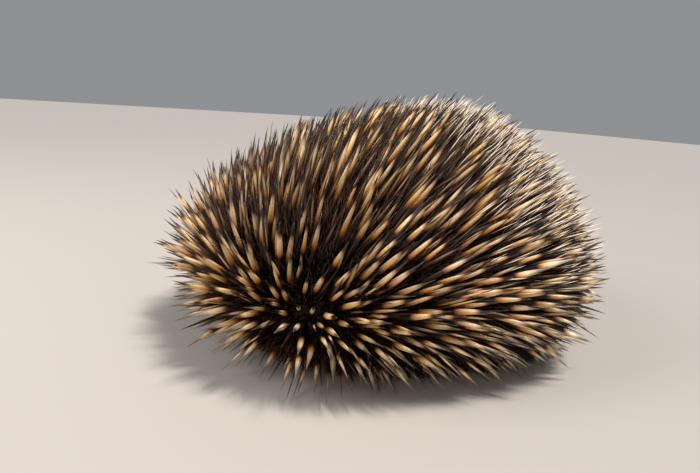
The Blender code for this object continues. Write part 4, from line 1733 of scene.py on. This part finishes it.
@dataclass(frozen=True)
class SpinyCoat:
    """Spines, bristles and fur over the dome."""

    most_triangles: int = 190000  # in a piece
    stand_out: float = 0.022  # how unevenly the tips come to the outline
    strays: float = 0.02  # share of strands that stand well out of it,
    stray_reach: float = 0.05  # by this share of the outline
    furthest: float = 1.09  # the furthest that a tip aims
    whorl_sunk: float = 0.05  # how far the tips at the whorl stay inside
    whorl_span: Pair = (0.030, 0.085)  # from it, from where to where the coat opens
    fringe: float = 0.06  # how much longer the hem is at the front left,
    fringe_turn: float = math.radians(308)  # at this turn,
    fringe_half: float = 0.20  # and over this much to each side
    hem_heights: Pair = (0.075, 0.015)  # from and to where strands are those of the hem,
    hem_fringe: Pair = (0.050, 0.020)  # where the fringe hangs from it,
    hem_slim: float = 0.12  # and how much shorter and thinner they are
    back_heights: Pair = (0.085, 0.135)  # from and to where they are those of the back
    longest_out: float = 0.036  # the most that a tip is from its strand's middle
    root_room: float = 0.012  # the least that a root is
    tones: float = 0.78  # share of the tones that is chance; the rest is for the sides
    whorl_slim: float = 0.30  # how much thinner strands are at the whorl, and their bands weaker
    ahead_plain: float = 0.6  # how much weaker bands are where the upper front is thin
    squeezes: Pair = (1.30, 0.85)  # lengths of the bands, on the sides and on the back,
    squeeze_spread: Pair = (0.85, 1.20)  # and how they differ
    pale_heights: Pair = (0.060, 0.025)  # from and to where tips are pale in the hem
    pale_shares: Pair = (0.45, 0.75)  # shares back where some get pale,
    pale_rump: float = 0.6  # and how many
    pale_wander: float = 0.25
    least_kept: float = 0.45  # of a strand that the floor shortens
    guarded: tuple[float, ...] = (0.5, 0.65, 0.8, 0.9, 1.0)  # shares that keep clear
    beak_clear: Pair = (0.016, 0.011)  # of the beak's base and of its end,
    beak_part: float = 0.6  # which starts here

    def guards(self, head: Head) -> list[tuple[Span, float]]:
        """The stretches that the coat keeps clear of, with the distance that it keeps.

        Args:
            head: The head.

        Returns:
            The beak's two parts, and the paw and the claws of each foot.
        """
        base, tip = (head.frame @ Vector((0, along, 0))
                     for along in (head.face_front, head.beak_front))
        half_way = base.lerp(tip, self.beak_part)
        kept = [(base, half_way, self.beak_clear[0]), (half_way, tip, self.beak_clear[1])]
        for foot in FEET:
            ahead, _ = foot.ways(foot.turn)
            paw = Vector(foot.paw)
            toes = paw + ahead * foot.toe_radius
            kept.append((paw, toes, foot.clear[0]))
            kept.append((toes, toes + ahead * max(foot.claw_lengths), foot.clear[1]))
        return [(Span(np.array(start), np.array(end)), reach) for start, end, reach in kept]

    def settle(self, strands: Strands, head: Head) -> Strands:
        """Keeps strands off the floor and clear of the head, beak and feet.

        Args:
            strands: Strands as they grew.
            head: The head.

        Returns:
            The strands that stay, shortened where they would reach into the floor.
        """
        room = strands.roots[:, 2] - FLOOR_GAP
        tips = strands.at(1.0)[:, 2]
        share = np.where(tips < FLOOR_GAP, room / np.maximum(strands.roots[:, 2] - tips, 1e-6), 1)
        strands.lengths = strands.lengths * np.clip(share, 0, 1)
        strands.bends = strands.bends * np.clip(share, 0, 1)[:, None]
        stays = (share > self.least_kept) & (room > 0)
        outer = [strands.at(part) for part in self.guarded]
        for span, reach in self.guards(head):
            for spots in outer:
                stays &= span.off(spots) > reach
        return strands.keep(stays)

    def grow(self, family: Family, head: Head) -> Strands:
        """Grows one family of long strands that end at the outline.

        Args:
            family: The family.
            head: The head, which they keep clear of.

        Returns:
            The strands.
        """
        chance = np.random.default_rng(family.seed)
        turn, climb = scatter(family.spacing, family.seed, True)
        depth = LIE.depth(LIE.middle_depths, turn, climb)
        middles = DOME.point(turn, climb, depth)
        share = DOME.share_back(middles)
        grown = chance.random(len(turn)) < family.cover(middles[:, 2], share)
        turn, climb, depth, middles, share = (
            values[grown] for values in (turn, climb, depth, middles, share))
        count, height = len(turn), middles[:, 2]
        low, high = ease(height, *self.hem_heights), ease(height, *self.back_heights)
        whorl = np.linalg.norm(middles - LIE.pole(LIE.whorl, -1), axis=1)
        opened = ease(whorl, *self.whorl_span)
        ways = LIE.ways(middles, DOME.normal(turn, climb, depth))
        ways = unit(ways + chance.normal(0, family.wander, (count, 3)))
        fringe = np.exp(-((turn - self.fringe_turn) / self.fringe_half) ** 2)
        target = (1 + chance.normal(0, self.stand_out, count) - self.whorl_sunk * (1 - opened)
                  + self.fringe * fringe * ease(height, *self.hem_fringe))
        target = target + self.stray_reach * (chance.random(count) < self.strays) - family.inside
        target = np.minimum(target, self.furthest)
        outer = DOME.way_out(middles, ways, target, self.longest_out)
        lengths = mix(*family.lengths, chance.random(count))
        lengths = np.maximum(lengths * (1 - self.hem_slim * low), outer + self.root_room)
        roots = middles - ways * (lengths - outer)[:, None]
        tones = mix(1 - high, chance.random(count), self.tones)
        halves = mix(*family.halves, chance.random(count))
        halves = halves * mix(1 - self.whorl_slim, 1, opened) * (1 - self.hem_slim * low)
        bends = chance.normal(0, family.bend, (count, 3))
        bands = mix(*family.bands, chance.random(count) ** family.band_rarity)
        bands = bands * mix(1 - self.whorl_slim, 1, opened) * mix(1, family.band_on_back, high)
        bands = bands * (1 - self.ahead_plain * family.thinning(height, share))
        squeezes = mix(*self.squeezes, high) * mix(*self.squeeze_spread, chance.random(count))
        # Tips are pale in the hem, and many are over the rump: partly their own colour, partly a
        # painted glint of light.
        pales = ease(height, *self.pale_heights) + chance.normal(0, self.pale_wander, count)
        rump = self.pale_rump * ease(share, *self.pale_shares)
        pales = np.maximum(pales, chance.random(count) < rump)
        return self.settle(Strands(roots, ways, lengths, halves, bends, tones,
                                   unwrap(turn, climb), np.clip(pales, 0, 1), bands, squeezes),
                           head)

    def place(self, kind: CoatKind, name: str, strands: Strands, form: StrandForm,
              finish: bpy.types.Material, slot: str) -> None:
        """Puts a family of strands in the scene, in as many pieces as it needs.

        Args:
            kind: The kind of strand.
            name: Name of the pieces.
            strands: The strands.
            form: Their cross-section and taper.
            finish: Their material.
            slot: Not used.
        """
        count = len(strands.roots)
        pieces = max(1, math.ceil(count * form.triangles / self.most_triangles))
        rank = np.argsort(np.argsort(strands.roots[:, 1], kind="stable"), kind="stable")
        for number in range(pieces):
            part = strands.keep(rank * pieces // count == number)
            label = name + "_" + str(number + 1)
            new_piece(label, part.mesh(label, form), finish)
            LOG.info("%s: %d %s, %d triangles", label, len(part.roots), kind.value,
                     len(part.roots) * form.triangles)

    def build(self, skin: bpy.types.Object, beak: bpy.types.Object, head: Head,
              finishes: dict[CoatKind, bpy.types.Material]) -> None:
        """Grows and places the whole coat.

        Args:
            skin: The skin that the short fur grows on.
            beak: The beak, whose base has hairs too.
            head: The head, which the coat keeps clear of.
            finishes: The material of each kind of strand.
        """
        for family in FAMILIES:
            self.place(family.kind, family.name, self.grow(family, head), family.form,
                       finishes[family.kind], "spines")
        for name, strands in (("fur", self.settle(LongFur().grow(), head)),
                              ("short_fur", ShortFur().grow(skin, beak, head))):
            self.place(CoatKind.FUR, name, strands, FUR_FORM, finishes[CoatKind.FUR], "fur")


# ------------------------------------------------------------------ stage


@dataclass(frozen=True)
class Studio:
    """Plain pale floor, soft studio light, and the camera low at the animal's front left."""

    camera_place: Place = (0.34586, -0.20004, 0.16725)
    look_turn: float = math.radians(62.385)
    look_dip: float = math.radians(13.941)
    roll: float = math.radians(3.992)
    lens: float = 27.117  # millimetres, with the sensor's width
    sensor: float = 36.0
    clip: Pair = (0.01, 50.0)
    aim: Place = (0.0, 0.0, 0.06)  # where the lamps shine at
    floor_half: float = 6.0
    floor_colour: str = "#9f9f9f"
    floor_roughness: float = 0.9
    sky_colour: str = "#eef1f5"
    sky_strength: float = 0.32

    def camera(self) -> None:
        """Makes the scene's camera."""
        data = bpy.data.cameras.new("camera")
        data.lens = self.lens
        data.sensor_width = self.sensor
        data.clip_start, data.clip_end = self.clip
        camera = new_object("camera", data)
        turn, dip = self.look_turn, self.look_dip
        right = Vector((math.cos(turn), math.sin(turn), 0))
        ahead = Vector((-math.sin(turn) * math.cos(dip), math.cos(turn) * math.cos(dip),
                        -math.sin(dip)))
        up = right.cross(ahead)
        tilted = right * math.cos(self.roll) + up * math.sin(self.roll)
        up = up * math.cos(self.roll) - right * math.sin(self.roll)
        camera.matrix_world = placing(tilted, up, -ahead, Vector(self.camera_place))
        bpy.context.scene.camera = camera

    def light(self, name: str, place: Place, size: float, power: float, code: str,
              far: bool = False) -> None:
        """Adds a square soft light that faces the animal, or a far one that lights all alike.

        Args:
            name: Its name.
            place: Where it hangs, or the way that it shines from.
            size: Its width, or how wide it looks in radians.
            power: Its strength.
            code: Its colour.
            far: Whether it is far away.
        """
        data = bpy.data.lights.new(name, "SUN" if far else "AREA")
        setattr(data, "angle" if far else "size", size)
        data.energy, data.color = power, linear_colour(code)[:3]
        light = new_object(name, data)
        light.location = place
        way = Vector(place) - (Vector() if far else Vector(self.aim))
        light.rotation_euler = (-way).to_track_quat("-Z", "Y").to_euler()

    def floor(self) -> None:
        """Lays a wide plain floor."""
        shape = bmesh.new()
        bmesh.ops.create_grid(shape, x_segments=1, y_segments=1, size=self.floor_half)
        mesh = shape_to_mesh("floor", shape)
        finish, tree = new_finish("pale studio floor")
        set_inputs(tree.nodes[SHADER], Base_Color=linear_colour(self.floor_colour),
                   Roughness=self.floor_roughness)
        mesh.materials.append(finish)
        floor = new_object("floor", mesh)

    def build(self) -> None:
        """Sets up camera, floor, lights and sky."""
        self.camera()
        self.floor()
        self.light("key", (0.28, 0.35, 1.20), math.radians(10), power=4.6, code="#fff1e4",
                   far=True)
        self.light("fill", (0.9, -0.9, 0.5), size=0.6, power=5.7, code="#ffdfc2")
        self.light("front", (-0.1, -1.0, 0.9), size=0.5, power=9.5, code="#fff4ea")
        world = bpy.data.worlds.new("studio")
        world.use_nodes = True
        set_inputs(world.node_tree.nodes["Background"], Color=linear_colour(self.sky_colour),
                   Strength=self.sky_strength)
        bpy.context.scene.world = world
        bpy.context.scene.view_settings.view_transform = "Standard"


def main() -> None:
    """Builds the stage, the animal and its coat, and reports each piece."""
    logging.basicConfig(level=logging.INFO, format="%(message)s")
    Studio().build()
    head = Head()
    skin_finish = BareSkin("dark furred skin", "#0f0a08", "#1d1410", grain_mm=1.4,
                           roughness=0.75, bump=0.5).build()
    # The beak is paler than its real dark grey, a painted light so that it shows in the coat's
    # shade; its base gets painted shade.
    beak_finish = BareSkin("beak skin", "#2b2522", "#5a4d46", grain_mm=0.9, roughness=0.45,
                           bump=0.55, fades=True).build()
    fur_stops = ((0.0, "#060201"), (0.55, "#110704"), (1.0, "#402110"))
    # The bristles' near-white ends are partly the pale hair of the rump and partly painted glints
    # of light.
    bristle_glint_stops = ((0.0, "#0c0705"), (0.55, "#1d130d"), (0.68, "#85735f"), (0.80, "#ebe1d2"),
                     (1.0, "#f7f1e7"))
    finishes = {
        CoatKind.SPINE: SpineKeratin().build(),
        CoatKind.BRISTLE: StrandHair("ivory bristle with painted glints", bristle_glint_stops, roughness=0.5,
                                       variation=0.2).build(),
        CoatKind.FUR: StrandHair("black-brown fur", fur_stops, roughness=0.62,
                                   variation=0.6).build(),
    }
    skin = Skin().build(head, skin_finish)
    beak = head.build(beak_finish, WetEye().build(), skin_finish)
    horn = ClawHorn().build()
    for foot in FEET:
        foot.build(horn)
    SpinyCoat().build(skin, beak, head, finishes)


if __name__ == "__main__":
    main()
